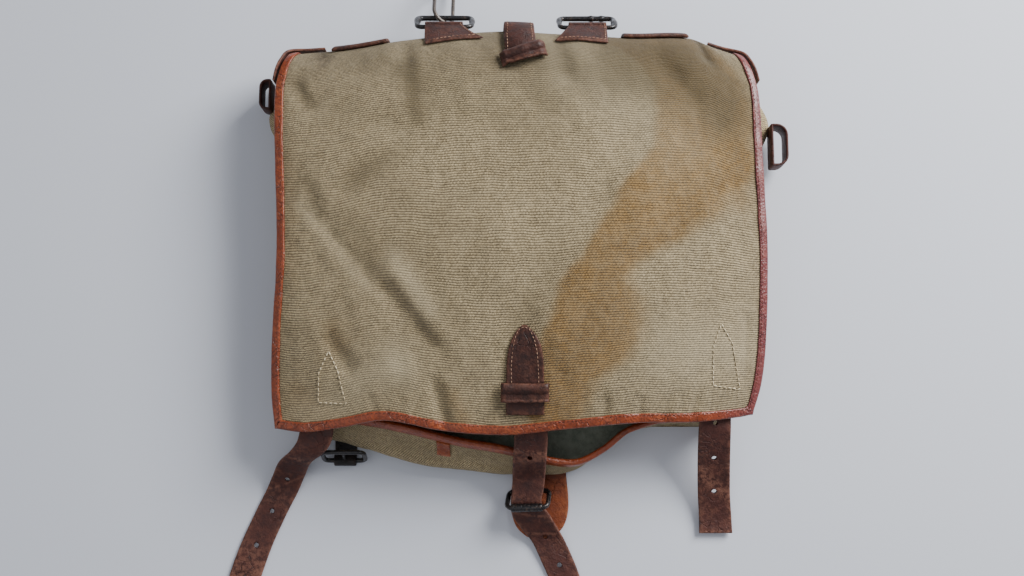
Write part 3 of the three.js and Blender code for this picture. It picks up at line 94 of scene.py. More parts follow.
# %% Curves and lines
def curve(table, column, at, key=0):
    """Table value at a place: a cubic between rows, each row's slope taken from its neighbours."""
    x, y = table[:, key], table[:, column]
    row = np.arange(len(x))
    before, after = np.maximum(row - 1, 0), np.minimum(row + 1, len(x) - 1)
    slope = (y[after] - y[before]) / (x[after] - x[before])
    place = np.clip(at, x[0], x[-1])
    k = np.clip(np.searchsorted(x, place, side="right") - 1, 0, len(x) - 2)
    span = x[k + 1] - x[k]
    s = (place - x[k]) / span
    rise = s * s * (3 - 2 * s)
    bend = slope[k] * s * (1 - s) ** 2 * span + slope[k + 1] * s * s * (s - 1) * span
    return y[k] * (1 - rise) + y[k + 1] * rise + bend


def ramp(at, start, end):
    """0 before start, 1 after end, an S between."""
    s = np.clip((at - start) / (end - start), 0, 1)
    return s * s * (3 - 2 * s)


def unit(v):
    """v divided by its own length."""
    return v / np.maximum(np.linalg.norm(v, axis=-1, keepdims=True), 1e-12)


def spline(rows, t, *line):
    """A smooth line through the rows: between two rows a cubic whose end slopes are half the
    step from the row before to the row after. Where each row holds many points, line says
    which of them each t is for."""
    rows = np.asarray(rows, float)
    reach = np.concatenate([2 * rows[:1] - rows[1:2], rows, 2 * rows[-1:] - rows[-2:-1]])
    s = np.clip(t, 0, 1) * (len(rows) - 1)
    k = np.minimum(s.astype(int), len(rows) - 2)
    f = (s - k)[..., None]
    a, b, c, d = (reach[(k + n, *line)] for n in range(4))
    out, into = (c - a) / 2, (d - b) / 2
    start, end = 2 * f**3 - 3 * f**2 + 1, 3 * f**2 - 2 * f**3
    return start * b + end * c + (f**3 - 2 * f**2 + f) * out + (f**3 - f**2) * into


def waves(x, y, seed, scale, octaves=3):
    """Gentle unevenness: a sum of sine waves in turned directions, each octave half as high."""
    dice = np.random.default_rng(seed)
    total = np.zeros(np.broadcast(x, y).shape)
    for octave in range(octaves):
        for _ in range(4):
            turn, phase = dice.uniform(0, 2 * np.pi, 2)
            pitch = scale * 0.5**octave * dice.uniform(0.8, 1.3)
            along = x * np.cos(turn) + y * np.sin(turn)
            total += 0.5**octave * np.sin(2 * np.pi * along / pitch + phase) / 4
    return total


def walked(points):
    """How far along a line each of its points is."""
    return np.concatenate([[0], np.cumsum(np.linalg.norm(np.diff(points, axis=0), axis=1))])


def even_line(points, count):
    """The same line cut into count even steps."""
    far = walked(points)
    even = np.linspace(0, far[-1], count + 1)
    return np.stack([np.interp(even, far, column) for column in points.T], -1)


def even_loop(points, count):
    """The same for a closed line, whose first point isn't repeated."""
    return even_line(np.vstack([points, points[:1]]), count)[:-1]


def grid_faces(index):
    """Four-cornered faces between neighbours of a grid of point numbers."""
    near, far = index[..., :-1, :], index[..., 1:, :]
    return np.stack([near[..., :-1], near[..., 1:], far[..., 1:], far[..., :-1]], -1)


# %% A mesh from its corners
def build(name, points, quads, uv=None, triangles=None, masks=None):
    """A mesh object at the origin from corner points in mm, turned so that its faces point out."""
    points = np.asarray(points, float).reshape(-1, 3)
    parts = [np.asarray(quads).reshape(-1, 4)]
    if triangles is not None:
        parts.append(np.asarray(triangles).reshape(-1, 3))
    volume = 0.0
    for faces in parts:
        corner = points[faces]
        for k in range(1, faces.shape[1] - 1):
            volume += np.sum(corner[:, 0] * np.cross(corner[:, k], corner[:, k + 1]))
    if volume < 0:
        parts = [faces[:, ::-1] for faces in parts]
    loops = np.concatenate([faces.ravel() for faces in parts]).astype(np.int32)
    totals = np.concatenate([np.full(len(f), f.shape[1]) for f in parts]).astype(np.int32)
    mesh = bpy.data.meshes.new(name)
    mesh.vertices.add(len(points))
    mesh.vertices.foreach_set("co", (points * MM).astype(np.float32).ravel())
    mesh.loops.add(len(loops))
    mesh.loops.foreach_set("vertex_index", loops)
    mesh.polygons.add(len(totals))
    starts = np.concatenate([[0], np.cumsum(totals)[:-1]]).astype(np.int32)
    mesh.polygons.foreach_set("loop_start", starts)
    mesh.update(calc_edges=True)
    if uv is not None:
        layer = mesh.uv_layers.new(name="cloth")
        corners = np.asarray(uv).reshape(-1, 2)[loops] * MM
        layer.data.foreach_set("uv", corners.astype(np.float32).ravel())
    for mask, values in (masks or {}).items():
        layer = mesh.attributes.new(mask, "FLOAT", "POINT")
        layer.data.foreach_set("value", np.asarray(values, np.float32).ravel())
    mesh.shade_smooth()
    piece = bpy.data.objects.new(name, mesh)
    bpy.context.scene.collection.objects.link(piece)
    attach(piece, "root")
    return piece


# %% A closed sheet
def rim_steps(length, rim, count):
    """Shares from 0 to 1: even inside, and closer together within a rim's width of both ends."""
    r = min(rim / length, 0.3)
    near = r * (1 - np.cos(np.linspace(0, np.pi / 2, 4)))
    return np.concatenate([near, np.linspace(r, 1 - r, count)[1:-1], 1 - near[::-1]])


def sheet(name, surface, width, length, thickness, columns, rows, closed=False, masks=None):
    """A closed sheet about surface(i, j). Half the thickness lies each way along the normal,
    times sqrt(1 - (1 - d / r)^2) within r of the rim. closed joins its first and last column."""
    rim = thickness / 2
    i = np.linspace(0, 1, columns + 1)[:-1] if closed else rim_steps(width, rim, columns)
    j = rim_steps(length, rim, rows)
    I, J = np.meshgrid(i, j)
    middle = surface(I, J)
    step = 0.2 / max(width, length)
    near = (lambda s: s) if closed else (lambda s: np.clip(s, 0, 1))
    across = surface(near(I + step), J) - surface(near(I - step), J)
    along = surface(I, np.clip(J + step, 0, 1)) - surface(I, np.clip(J - step, 0, 1))
    normal = unit(np.cross(across, along))
    d = np.minimum(J, 1 - J) * length
    if not closed:
        d = np.minimum(d, np.minimum(I, 1 - I) * width)
    half = rim * np.sqrt(np.clip(1 - (1 - np.minimum(d / rim, 1)) ** 2, 0, 1))
    outer = middle + normal * half[..., None]
    inner = middle - normal * half[..., None]
    n, m = I.shape
    index = np.arange(n * m).reshape(n, m)
    edge = np.zeros((n, m), bool)
    edge[[0, -1], :] = True
    if not closed:
        edge[:, [0, -1]] = True
    back = index.copy()
    back[~edge] = n * m + np.arange((~edge).sum())
    if closed:
        index = np.hstack([index, index[:, :1]])
        back = np.hstack([back, back[:, :1]])
    front, rear = grid_faces(index), grid_faces(back.T).transpose(1, 0, 2)
    points = np.vstack([outer.reshape(-1, 3), inner[~edge]])
    flat = np.stack([I * width, J * length], -1)
    uv = np.vstack([flat.reshape(-1, 2), flat[~edge]])
    fields = {"rim": np.exp(-d / RIM_WEAR), "back": np.zeros_like(d)}
    if masks is not None:
        fields.update(masks(I, J))
    made = {}
    for key, value in fields.items():
        under = np.ones_like(value) if key == "back" else value
        made[key] = np.concatenate([value.ravel(), under[~edge]])
    quads = np.vstack([front.reshape(-1, 4), rear.reshape(-1, 4)])
    return build(name, points, quads, uv=uv, masks=made)


# %% An outline carried along a line
def carried(name, outline, at, out, up, closed=False):
    """A closed outline of (out, up) pairs carried along frames; open ends are capped."""
    outline = np.asarray(outline, float)
    points = at[:, None] + out[:, None] * outline[None, :, :1] + up[:, None] * outline[None, :, 1:2]
    n, m = points.shape[:2]
    index = np.arange(n * m).reshape(n, m)
    ring = np.hstack([index, index[:, :1]])
    if closed:
        ring = np.vstack([ring, ring[:1]])
    uv = np.stack(np.meshgrid(walked(outline), walked(at)), -1)
    triangles = None
    flat = points.reshape(-1, 3)
    if not closed:
        ends = np.stack([points[0].mean(0), points[-1].mean(0)])
        flat = np.vstack([flat, ends])
        uv = np.vstack([uv.reshape(-1, 2), np.zeros((2, 2))])
        first = np.stack([np.full(m, n * m), ring[0, 1:], ring[0, :-1]], -1)
        last = np.stack([np.full(m, n * m + 1), ring[-1, :-1], ring[-1, 1:]], -1)
        triangles = np.vstack([first, last])
    return build(name, flat, grid_faces(ring), uv=uv, triangles=triangles)


def frames_along(points, up, closed=False):
    """Out and up at each point of a line: out is square to the line and to up."""
    if closed:
        along = unit(np.roll(points, -1, 0) - np.roll(points, 1, 0))
    else:
        along = unit(np.gradient(points, axis=0))
    out = unit(np.cross(along, np.broadcast_to(up, points.shape)))
    return out, unit(np.cross(out, along))


def circle(radius, sides=14):
    """A rod's outline."""
    turn = 2 * np.pi * (np.arange(sides) + 0.5) / sides
    return np.stack([radius * np.cos(turn), radius * np.sin(turn)], -1)


# %% Stitches
def stitches(name, lines, length=2.0, gap=1.1, thick=0.7):
    """Short rounded threads along lines of (points, normals): each is a ring of six round a bowed
    middle, thinning to its ends, one mesh for a whole seam."""
    rings, sides = 5, 6
    s = np.linspace(-1, 1, rings)
    fat = np.sqrt(np.maximum(1 - (np.abs(s) * 0.98) ** 3, 0.03)) * thick / 2
    turn = 2 * np.pi * np.arange(sides) / sides
    all_points, all_quads, start = [], [], 0
    for points, normals in lines:
        far = walked(points)
        count = max(int(far[-1] / (length + gap)), 1)
        places = (np.arange(count) + 0.5) * far[-1] / count
        take = lambda field, d: np.stack([np.interp(d, far, column) for column in field.T], -1)
        centre, normal = take(points, places), unit(take(normals, places))
        along = unit(take(points, places + length / 2) - take(points, places - length / 2))
        side = np.cross(along, normal)
        body = centre[:, None] + along[:, None] * (s * length / 2)[None, :, None]
        body = body + normal[:, None] * (0.12 * thick * (1 - s**2))[None, :, None]
        around = (
            side[:, None, None] * np.cos(turn)[None, None, :, None]
            + normal[:, None, None] * np.sin(turn)[None, None, :, None]
        )
        made = body[:, :, None] + around * fat[None, :, None, None]
        index = start + np.arange(count * rings * sides).reshape(count, rings, sides)
        ring = np.concatenate([index, index[..., :1]], -1)
        caps = np.stack([index[:, 0, [0, 1, 2, 3]], index[:, 0, [0, 3, 4, 5]]], 1)
        ends = np.stack([index[:, -1, [3, 2, 1, 0]], index[:, -1, [5, 4, 3, 0]]], 1)
        all_points.append(made.reshape(-1, 3))
        all_quads += [faces.reshape(-1, 4) for faces in (grid_faces(ring), caps, ends)]
        start += made.size // 3
    return build(name, np.vstack(all_points), np.vstack(all_quads))


print("tools ready")

# %% [markdown]
# ## Shared effects: weave, leather grain, stains and wear
# Old duck canvas is a plain weave whose cross threads stand out as fine ribs. It can be shown
# with an image, or worked out: ribs along one way, broken by the threads of the other. The
# second has no edges and stays sharp close up. Leather is a cell pattern with cracks. Stains
# are soft blotches of noise. Each is one node group, placed in many materials.


# %% Node helpers
def paint(red, green, blue):
    """A colour as it looks on a screen, 0 to 1, turned into light."""
    seen = np.array([red, green, blue])
    light = np.where(seen <= 0.04045, seen / 12.92, ((seen + 0.055) / 1.055) ** 2.4)
    return (*[float(v) for v in light], 1.0)


def give(tree, node, values):
    """Joins each socket among the values to the node's input of that name or number, and
    writes each plain value there."""
    for place, value in values:
        if isinstance(value, bpy.types.NodeSocket):
            tree.links.new(value, node.inputs[place])
        else:
            node.inputs[place].default_value = value


def add(tree, kind, settings=None, **values):
    """A node with its settings and inputs."""
    made = tree.nodes.new(kind)
    for key, value in (settings or {}).items():
        setattr(made, key, value)
    give(tree, made, [(key.replace("_", " "), value) for key, value in values.items()])
    return made


def maths(tree, operation, *values, clamp=False):
    """One step of sums on values that change over the surface."""
    made = add(tree, "ShaderNodeMath", {"operation": operation, "use_clamp": clamp})
    give(tree, made, enumerate(values))
    return made.outputs[0]


def times(tree, first, second):
    return maths(tree, "MULTIPLY", first, second)


def mixed(tree, share, first, second):
    """first where share is 0 and second where it is 1."""
    made = add(tree, "ShaderNodeMix", {"data_type": "RGBA", "clamp_factor": True})
    give(tree, made, [(0, share), (6, first), (7, second)])
    return made.outputs[2]


def stretch(tree, value, low, high, to_low=0.0, to_high=1.0):
    """An S from to_low to to_high while the value goes from low to high."""
    made = add(tree, "ShaderNodeMapRange", {"interpolation_type": "SMOOTHSTEP"}, Value=value)
    limits = ("From Min", low), ("From Max", high), ("To Min", to_low), ("To Max", to_high)
    give(tree, made, limits)
    return made.outputs[0]


def noise(tree, vector, scale, detail=3.0, rough=0.55):
    made = add(
        tree, "ShaderNodeTexNoise", Vector=vector, Scale=scale, Detail=detail, Roughness=rough
    )
    return made.outputs["Fac"]


def new_group(name, inputs, outputs):
    """An empty node group with its sockets; gives back its tree and their two ends."""
    tree = bpy.data.node_groups.new(name, "ShaderNodeTree")
    for label, kind, start in inputs:
        socket = tree.interface.new_socket(label, in_out="INPUT", socket_type=kind)
        if start is not None:
            socket.default_value = start
    for label, kind in outputs:
        tree.interface.new_socket(label, in_out="OUTPUT", socket_type=kind)
    return tree, tree.nodes.new("NodeGroupInput").outputs, tree.nodes.new("NodeGroupOutput").inputs


FLOAT, VECTOR = "NodeSocketFloat", "NodeSocketVector"

# %% Group: woven canvas
tree, given, out = new_group(
    "woven canvas",
    [
        ("Vector", VECTOR, None),
        ("Rib Pitch", FLOAT, 0.0013),
        ("Thread Pitch", FLOAT, 0.0009),
        ("Slant", FLOAT, 0.0),
    ],
    [("Height", FLOAT), ("Shade", FLOAT)],
)
apart = add(tree, "ShaderNodeSeparateXYZ", Vector=given["Vector"]).outputs
slow = maths(tree, "SUBTRACT", noise(tree, given["Vector"], 40.0, 2.0), 0.5)
drift = times(tree, slow, 0.003)
along = maths(tree, "ADD", apart["Y"], drift)
leaning = maths(tree, "MULTIPLY_ADD", apart["X"], given["Slant"], along)
rows = maths(tree, "DIVIDE", leaning, given["Rib Pitch"])
threads = maths(tree, "DIVIDE", apart["X"], given["Thread Pitch"])
rib = maths(tree, "COSINE", times(tree, rows, 2 * math.pi))
offset = times(tree, maths(tree, "FLOOR", maths(tree, "ADD", rows, 0.5)), math.pi)
over = maths(tree, "COSINE", maths(tree, "MULTIPLY_ADD", threads, 2 * math.pi, offset))
ribbed = maths(tree, "MULTIPLY_ADD", rib, 0.36, 0.5)
height = maths(tree, "ADD", ribbed, times(tree, over, 0.34))
row, thread = maths(tree, "ROUND", rows), maths(tree, "FLOOR", threads)
cell = add(tree, "ShaderNodeCombineXYZ", X=row, Y=thread)
flat = {"noise_dimensions": "2D"}
picked = add(tree, "ShaderNodeTexWhiteNoise", flat, Vector=cell.outputs[0]).outputs["Value"]
long_way = add(tree, "ShaderNodeMapping", Vector=given["Vector"], Scale=(90.0, 900.0, 90.0))
slub = maths(tree, "SUBTRACT", noise(tree, long_way.outputs[0], 1.0, 2.0), 0.5)
height = maths(tree, "ADD", height, times(tree, slub, 0.45))
tree.links.new(height, out["Height"])
fleck = maths(tree, "SUBTRACT", picked, 0.5)
flecked = maths(tree, "ADD", height, times(tree, fleck, 0.4))
tree.links.new(stretch(tree, flecked, 0.0, 1.0), out["Shade"])
WEAVE = tree

# %% Group: leather grain
tree, given, out = new_group(
    "leather grain",
    [("Vector", VECTOR, None), ("Grain Scale", FLOAT, 900.0), ("Crack Scale", FLOAT, 120.0)],
    [("Height", FLOAT), ("Cracks", FLOAT), ("Mottle", FLOAT)],
)
smooth = {"feature": "SMOOTH_F1"}
cells = add(
    tree, "ShaderNodeTexVoronoi", smooth, Vector=given["Vector"], Scale=given["Grain Scale"]
)
bent = add(tree, "ShaderNodeTexNoise", Vector=given["Vector"], Scale=260.0, Detail=2.0)
push = add(tree, "ShaderNodeVectorMath", {"operation": "MULTIPLY_ADD"})
give(tree, push, [(0, bent.outputs["Color"]), (1, (0.004, 0.004, 0.004)), (2, given["Vector"])])
edges = {"feature": "DISTANCE_TO_EDGE"}
net = add(tree, "ShaderNodeTexVoronoi", edges, Vector=push.outputs[0], Scale=given["Crack Scale"])
patchy = stretch(tree, noise(tree, given["Vector"], 45.0, 3.0), 0.45, 0.62)
cracks = times(tree, stretch(tree, net.outputs["Distance"], 0.0, 0.06, 1.0, 0.0), patchy)
swell = noise(tree, given["Vector"], 220.0, 3.0)
height = maths(tree, "MULTIPLY_ADD", cells.outputs["Distance"], 0.45, times(tree, swell, 0.9))
tree.links.new(maths(tree, "SUBTRACT", height, times(tree, cracks, 0.7)), out["Height"])
tree.links.new(cracks, out["Cracks"])
clouds = noise(tree, given["Vector"], 150.0, 6.0, 0.7)
tree.links.new(stretch(tree, clouds, 0.25, 0.72), out["Mottle"])
GRAIN = tree

# %% Group: stains
tree, given, out = new_group(
    "stains",
    [("Vector", VECTOR, None), ("Size", FLOAT, 30.0)],
    [("Broad", FLOAT), ("Fine", FLOAT), ("Specks", FLOAT)],
)
broad = noise(tree, given["Vector"], given["Size"], 4.0, 0.5)
tree.links.new(stretch(tree, broad, 0.38, 0.66), out["Broad"])
fine = noise(tree, given["Vector"], times(tree, given["Size"], 5.0), 5.0, 0.7)
tree.links.new(stretch(tree, fine, 0.3, 0.7), out["Fine"])
specks = noise(tree, given["Vector"], 420.0, 2.0)
tree.links.new(stretch(tree, specks, 0.68, 0.76), out["Specks"])
STAINS = tree
print("shared effects:", [group.name for group in bpy.data.node_groups])

# %% [markdown]
# ## The finishes
# Canvas takes its weave from the sheet's own measured map, so that threads follow its folds.
# Leather takes its grain from the place in space. Leather is lighter where it is rubbed: each
# sheet carries a mask that is 1 at its rim. The flap carries its few stains as soft strokes,
# with strokes of painted shade among them, and a golden zone that is partly painted shade.


# %% Material makers
def new_material(name):
    """A material with one Principled shader."""
    made = bpy.data.materials.new(name)
    made.use_nodes = True
    made.node_tree.nodes.clear()
    tree = made.node_tree
    shader = tree.nodes.new("ShaderNodeBsdfPrincipled")
    output = tree.nodes.new("ShaderNodeOutputMaterial")
    tree.links.new(shader.outputs[0], output.inputs[0])
    return made, tree, shader


def mask_of(tree, name):
    return add(tree, "ShaderNodeAttribute", {"attribute_name": name}).outputs["Fac"]


def place_of(tree):
    return tree.nodes.new("ShaderNodeTexCoord").outputs["Object"]


def use_group(tree, group, vector, **values):
    return add(tree, "ShaderNodeGroup", {"node_tree": group}, Vector=vector, **values).outputs


def set_all(shader, **values):
    for key, value in values.items():
        shader.inputs[key.replace("_", " ")].default_value = value


def bumped(tree, height, depth, under=None):
    """The surface's normal, turned as if height times depth stood on it."""
    made = add(tree, "ShaderNodeBump", Strength=1.0, Distance=depth, Height=height)
    if under is not None:
        tree.links.new(under, made.inputs["Normal"])
    return made.outputs[0]


# %% Canvas
def canvas_material(
    name, light, dark, stain, pale,
    golden=None, slant=0.0, rib=0.00142, strokes=True, inner=None, by_place=False,
):
    """Woven shade between dark and light, then the golden zone, partly painted shade, soft stains,
    and the strokes of grime and painted shade.
    inner gives the two colours of the other face; by_place weaves by the place in space."""
    made, tree, shader = new_material(name)
    place = place_of(tree)
    cloth = place if by_place else add(tree, "ShaderNodeUVMap", {"uv_map": "cloth"}).outputs[0]
    weave = use_group(tree, WEAVE, cloth, Rib_Pitch=rib, Slant=slant)
    stains = use_group(tree, STAINS, place)
    colour = mixed(tree, weave["Shade"], dark, light)
    # The golden zone: a real golden tone, darker where it is painted shade.
    if golden is not None:
        rich = mixed(tree, weave["Shade"], golden[0], golden[1])
        colour = mixed(tree, mask_of(tree, "golden"), colour, rich)
    colour = mixed(tree, times(tree, stains["Broad"], 0.2), colour, stain)
    colour = mixed(tree, times(tree, stains["Fine"], 0.16), colour, pale)
    if strokes:
        uneven = stretch(tree, stains["Fine"], 0.0, 0.8, 0.55, 1.0)
        # worn is here the strength of grime and painted shade, which darken the cloth towards the
        # stain colour.
        worn = times(tree, mask_of(tree, "grime"), uneven)
        colour = mixed(tree, worn, colour, stain)
        # Painted olive shade along the flap's olive strokes.
        colour = mixed(tree, mask_of(tree, "olive"), colour, paint(0.34, 0.29, 0.18))
        colour = mixed(tree, mask_of(tree, "faded"), colour, pale)
    colour = mixed(tree, times(tree, stains["Specks"], 0.25), colour, stain)
    weave_height = weave["Height"]
    if inner is not None:
        inside = maths(tree, "SUBTRACT", 1.0, mask_of(tree, "back"), clamp=True)
        colour = mixed(tree, inside, colour, mixed(tree, stains["Fine"], inner[0], inner[1]))
        left = maths(tree, "MULTIPLY_ADD", inside, -0.9, 1.0)
        weave_height = times(tree, weave_height, left)
    tree.links.new(colour, shader.inputs["Base Color"])
    set_all(
        shader, Roughness=0.93, Specular_IOR_Level=0.25, Sheen_Weight=0.15, Sheen_Roughness=0.6
    )
    relief = bumped(tree, stains["Fine"], 0.0004)
    tree.links.new(bumped(tree, weave_height, 0.0005, relief), shader.inputs["Normal"])
    return made


# %% Leather, metal and thread
CRACK_SCALE, RIM_SHARE, CRACK_SHARE, RUB_SHARE = 150.0, 0.75, 0.3, 0.22
# The colour of a painted purple sheen.
SHEEN_PURPLE = paint(0.38, 0.21, 0.27)


def leather_material(name, dark, main, worn, rough=0.5, coat=0.06, depth=0.0005, mauve=False):
    """Mottled between dark and main, lighter at its rims, rubs and scuffs, dark in its cracks.
    The last argument paints a purple sheen towards the pack's right side, where the light falls."""
    made, tree, shader = new_material(name)
    place = place_of(tree)
    grain = use_group(tree, GRAIN, place, Crack_Scale=CRACK_SCALE)
    stains = use_group(tree, STAINS, place, Size=60.0)
    colour = mixed(tree, grain["Mottle"], dark, main)
    fine, broad = stretch(tree, stains["Fine"], 0.35, 0.9), stretch(tree, stains["Broad"], 0.1, 1.0)
    rub = times(tree, times(tree, fine, broad), RUB_SHARE)
    edge = times(tree, times(tree, mask_of(tree, "rim"), RIM_SHARE), stains["Fine"])
    wear = maths(tree, "ADD", rub, edge, clamp=True)
    colour = mixed(tree, wear, colour, worn)
    colour = mixed(tree, times(tree, grain["Cracks"], CRACK_SHARE), colour, dark)
    patchy = stretch(tree, stains["Fine"], 0.15, 0.7)
    scuffs = times(tree, mask_of(tree, "rubbed"), patchy)
    colour = mixed(tree, scuffs, colour, worn)
    # Painted purple sheen towards the pack's right side, where the light falls.
    if mauve:
        right = add(tree, "ShaderNodeSeparateXYZ", Vector=place).outputs["X"]
        share = times(tree, stretch(tree, right, 0.12, 0.16), 0.55)
        colour = mixed(tree, share, colour, SHEEN_PURPLE)
    tree.links.new(colour, shader.inputs["Base Color"])
    dull = stretch(tree, grain["Mottle"], 0.0, 1.0, rough, rough + 0.2)
    tree.links.new(dull, shader.inputs["Roughness"])
    set_all(shader, Specular_IOR_Level=0.36, Coat_Weight=coat, Coat_Roughness=0.3)
    tree.links.new(bumped(tree, grain["Height"], depth), shader.inputs["Normal"])
    return made


def metal_material(name, main, worn, metallic):
    """Dark japanned iron or bare wire, worn through in spots."""
    rough = 0.26
    made, tree, shader = new_material(name)
    place = place_of(tree)
    stains = use_group(tree, STAINS, place, Size=140.0)
    wear = times(tree, stretch(tree, stains["Fine"], 0.5, 0.9), stains["Broad"])
    tree.links.new(mixed(tree, wear, main, worn), shader.inputs["Base Color"])
    dull = stretch(tree, stains["Fine"], 0.0, 1.0, rough, rough + 0.25)
    tree.links.new(dull, shader.inputs["Roughness"])
    set_all(shader, Metallic=metallic, Coat_Weight=0.5, Coat_Roughness=0.2)
    tree.links.new(bumped(tree, stains["Fine"], 0.00012), shader.inputs["Normal"])
    return made


def thread_material(name, main, soiled):
    made, tree, shader = new_material(name)
    place = place_of(tree)
    stains = use_group(tree, STAINS, place, Size=90.0)
    tree.links.new(mixed(tree, stains["Broad"], main, soiled), shader.inputs["Base Color"])
    set_all(shader, Roughness=0.8)
    drawn = add(tree, "ShaderNodeMapping", Vector=place, Scale=(900.0, 2600.0, 900.0)).outputs[0]
    tree.links.new(bumped(tree, noise(tree, drawn, 1.0), 0.0002), shader.inputs["Normal"])
    return made


# %% The pack's own finishes
flap_canvas = canvas_material(
    "flap canvas",
    light=paint(0.785, 0.705, 0.545),
    dark=paint(0.31, 0.255, 0.16),
    # stain also colours the strokes of grime and painted shade.
    stain=paint(0.34, 0.28, 0.18),
    pale=paint(0.78, 0.72, 0.59),
    # The golden zone's colours: a golden tone, darkened as painted shade.
    golden=(paint(0.34, 0.25, 0.11), paint(0.64, 0.49, 0.265)),
)
BODY_COLOURS = {
    "light": paint(0.84, 0.75, 0.57),
    "dark": paint(0.42, 0.36, 0.25),
    "stain": paint(0.28, 0.24, 0.18),
    "pale": paint(0.66, 0.62, 0.50),
}
body_canvas = canvas_material(
    "body canvas", **BODY_COLOURS, slant=0.9, rib=0.0014, strokes=False,
    inner=(paint(0.46, 0.49, 0.44), paint(0.58, 0.60, 0.54)),
)
panel_canvas = canvas_material("panel canvas", **BODY_COLOURS, strokes=False, by_place=True)


def leather(name, dark, main, worn, **more):
    return leather_material(name, paint(*dark), paint(*main), paint(*worn), **more)


# The binding carries a painted purple sheen on the pack's right side.
binding_leather = leather(
    "binding leather", (0.44, 0.18, 0.08), (0.56, 0.245, 0.105), (0.76, 0.46, 0.28),
    rough=0.26, coat=0.45, depth=0.001, mauve=True,
)
strap_leather = leather(
    "strap leather", (0.21, 0.10, 0.085), (0.30, 0.155, 0.125), (0.52, 0.35, 0.28)
)
tab_leather = leather("tab leather", (0.15, 0.075, 0.06), (0.26, 0.13, 0.10), (0.46, 0.30, 0.23))
# Near black as painted shade: the edge chape shows only in the shade between the gusset and the
# left buckle.
shade_dark_leather = leather(
    "shade-dark leather", (0.07, 0.06, 0.06), (0.12, 0.10, 0.10), (0.26, 0.20, 0.18)
)
tongue_leather = leather(
    "tongue leather", (0.38, 0.17, 0.09), (0.53, 0.26, 0.13), (0.66, 0.40, 0.24)
)
black_metal = metal_material("black metal", paint(0.10, 0.10, 0.11), paint(0.30, 0.24, 0.20), 0.6)
grey_wire = metal_material("grey wire", paint(0.36, 0.33, 0.31), paint(0.50, 0.45, 0.40), 0.8)
pale_thread = thread_material("pale thread", paint(0.86, 0.80, 0.67), paint(0.70, 0.63, 0.50))
seam_thread = thread_material("seam thread", paint(0.42, 0.22, 0.13), paint(0.26, 0.12, 0.08))
brown_thread = thread_material("brown thread", paint(0.68, 0.54, 0.45), paint(0.42, 0.28, 0.22))


def dressed(piece, material, slot, *nodes):
    """Gives a piece its finish and hides the CAD nodes it stands for, and says its size. slot is
    not used.
    """
    piece.data.materials.append(material)
    if nodes:
        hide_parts(*nodes)
    print(f"{piece.name}: {len(piece.data.polygons)} faces")
    return piece


print("finishes:", [material.name for material in bpy.data.materials])

# %% [markdown]
# ## The flap
# One big piece of canvas is sewn to the back, comes up over the top fold and lies over the
# stuffed body. It could be draped by simulation, but the photo's folds are particular ones,
# so it is worked out: a section from the root to the bottom edge, flattened towards its
# sides, plus a table of soft ridges and creases. Each fold adds a bell curve of the distance
# from its line.

# %% Sizes and tables of the flap
CLOTH, STRAP_LEATHER, TRIM_LEATHER = 1.6, 2.2, 1.8
HALF_FLAP, FLAP_LENGTH, FLAP_CLOTH_LENGTH = 162.5, 252.0, 318.0
FOLD_REACH, PACK_DEPTH = 16.0, 61.0
BACK_TOP, ROOT_HEIGHT, FLAP_ROOT = 126.0, 2.7, 124.0

# at, back, down, crown, edge
FLAP_SECTIONS = np.array([
    [0, 1, 0, 0, 0], [0.06, 0.5, 0, 0.2, 0.2], [0.12, 0.08, 0, 0.44, 0.41],
    [0.18, 0, 0.006, 0.68, 0.56], [0.24, 0, 0.03, 0.83, 0.64], [0.32, 0, 0.09, 0.92, 0.67],
    [0.42, 0, 0.2, 0.965, 0.68], [0.55, 0, 0.38, 1, 0.66], [0.68, 0, 0.57, 1, 0.63],
    [0.8, 0, 0.74, 0.95, 0.58], [0.9, 0, 0.87, 0.86, 0.53], [1, 0, 1, 0.71, 0.48],
])
# across, reach
FOLD_LINE = np.array([
    [-1, 0.1], [-0.73, 0.28], [-0.5, 0.62], [-0.1, 1], [0.15, 0.9], [0.5, 0.72], [0.76, 0.76],
    [0.87, 0.4], [1, 0.02],
])
# down, left, right
FLAP_SIDES = np.array([
    [0, 0.955, 0.93], [0.05, 0.99, 0.965], [0.12, 1.008, 0.99], [0.3, 1, 1], [0.55, 0.985, 1.012],
    [0.8, 1, 1], [0.92, 0.998, 0.98], [1, 0.985, 0.945],
])
# across, drop, lift
FLAP_HEM = np.array([
    [-1, 0.002, 0], [-0.88, 0.011, 0], [-0.73, 0, 0.03], [-0.55, -0.018, 0.06], [-0.32, 0.008, 0],
    [-0.06, 0.019, -0.04], [0.17, 0.006, 0], [0.5, -0.012, 0.03], [0.74, -0.014, 0.02],
    [0.95, -0.028, 0], [1, -0.034, 0],
])
# across, down, to across, to down, width, height: the main folds, then small ones
FLAP_FOLDS = np.array([
    [0.76, 0.15, 0.16, 0.78, 0.08, 0.07], [0.62, 0.12, 0, 0.74, 0.05, -0.05],
    [-0.5, 0.63, -0.33, 0.77, 0.035, 0.045], [-0.53, 0.67, -0.34, 0.8, 0.022, -0.04],
    [-0.87, 0.4, -0.6, 0.62, 0.03, -0.035], [-0.92, 0.11, -0.85, 0.17, 0.022, -0.03],
    [-0.1, 0, -0.05, 0.1, 0.03, -0.05], [0.16, 0, 0.18, 0.12, 0.03, -0.05],
    [-0.48, 0.05, -0.43, 0.16, 0.028, -0.04], [-0.34, 0.9, -0.3, 1, 0.02, -0.035],
    [-0.76, 0.78, -0.68, 0.86, 0.02, -0.035], [-0.84, 0.025, -0.83, 0.03, 0.02, -0.05],
    [0.8, 0.02, 0.8, 0.06, 0.02, -0.06],
])
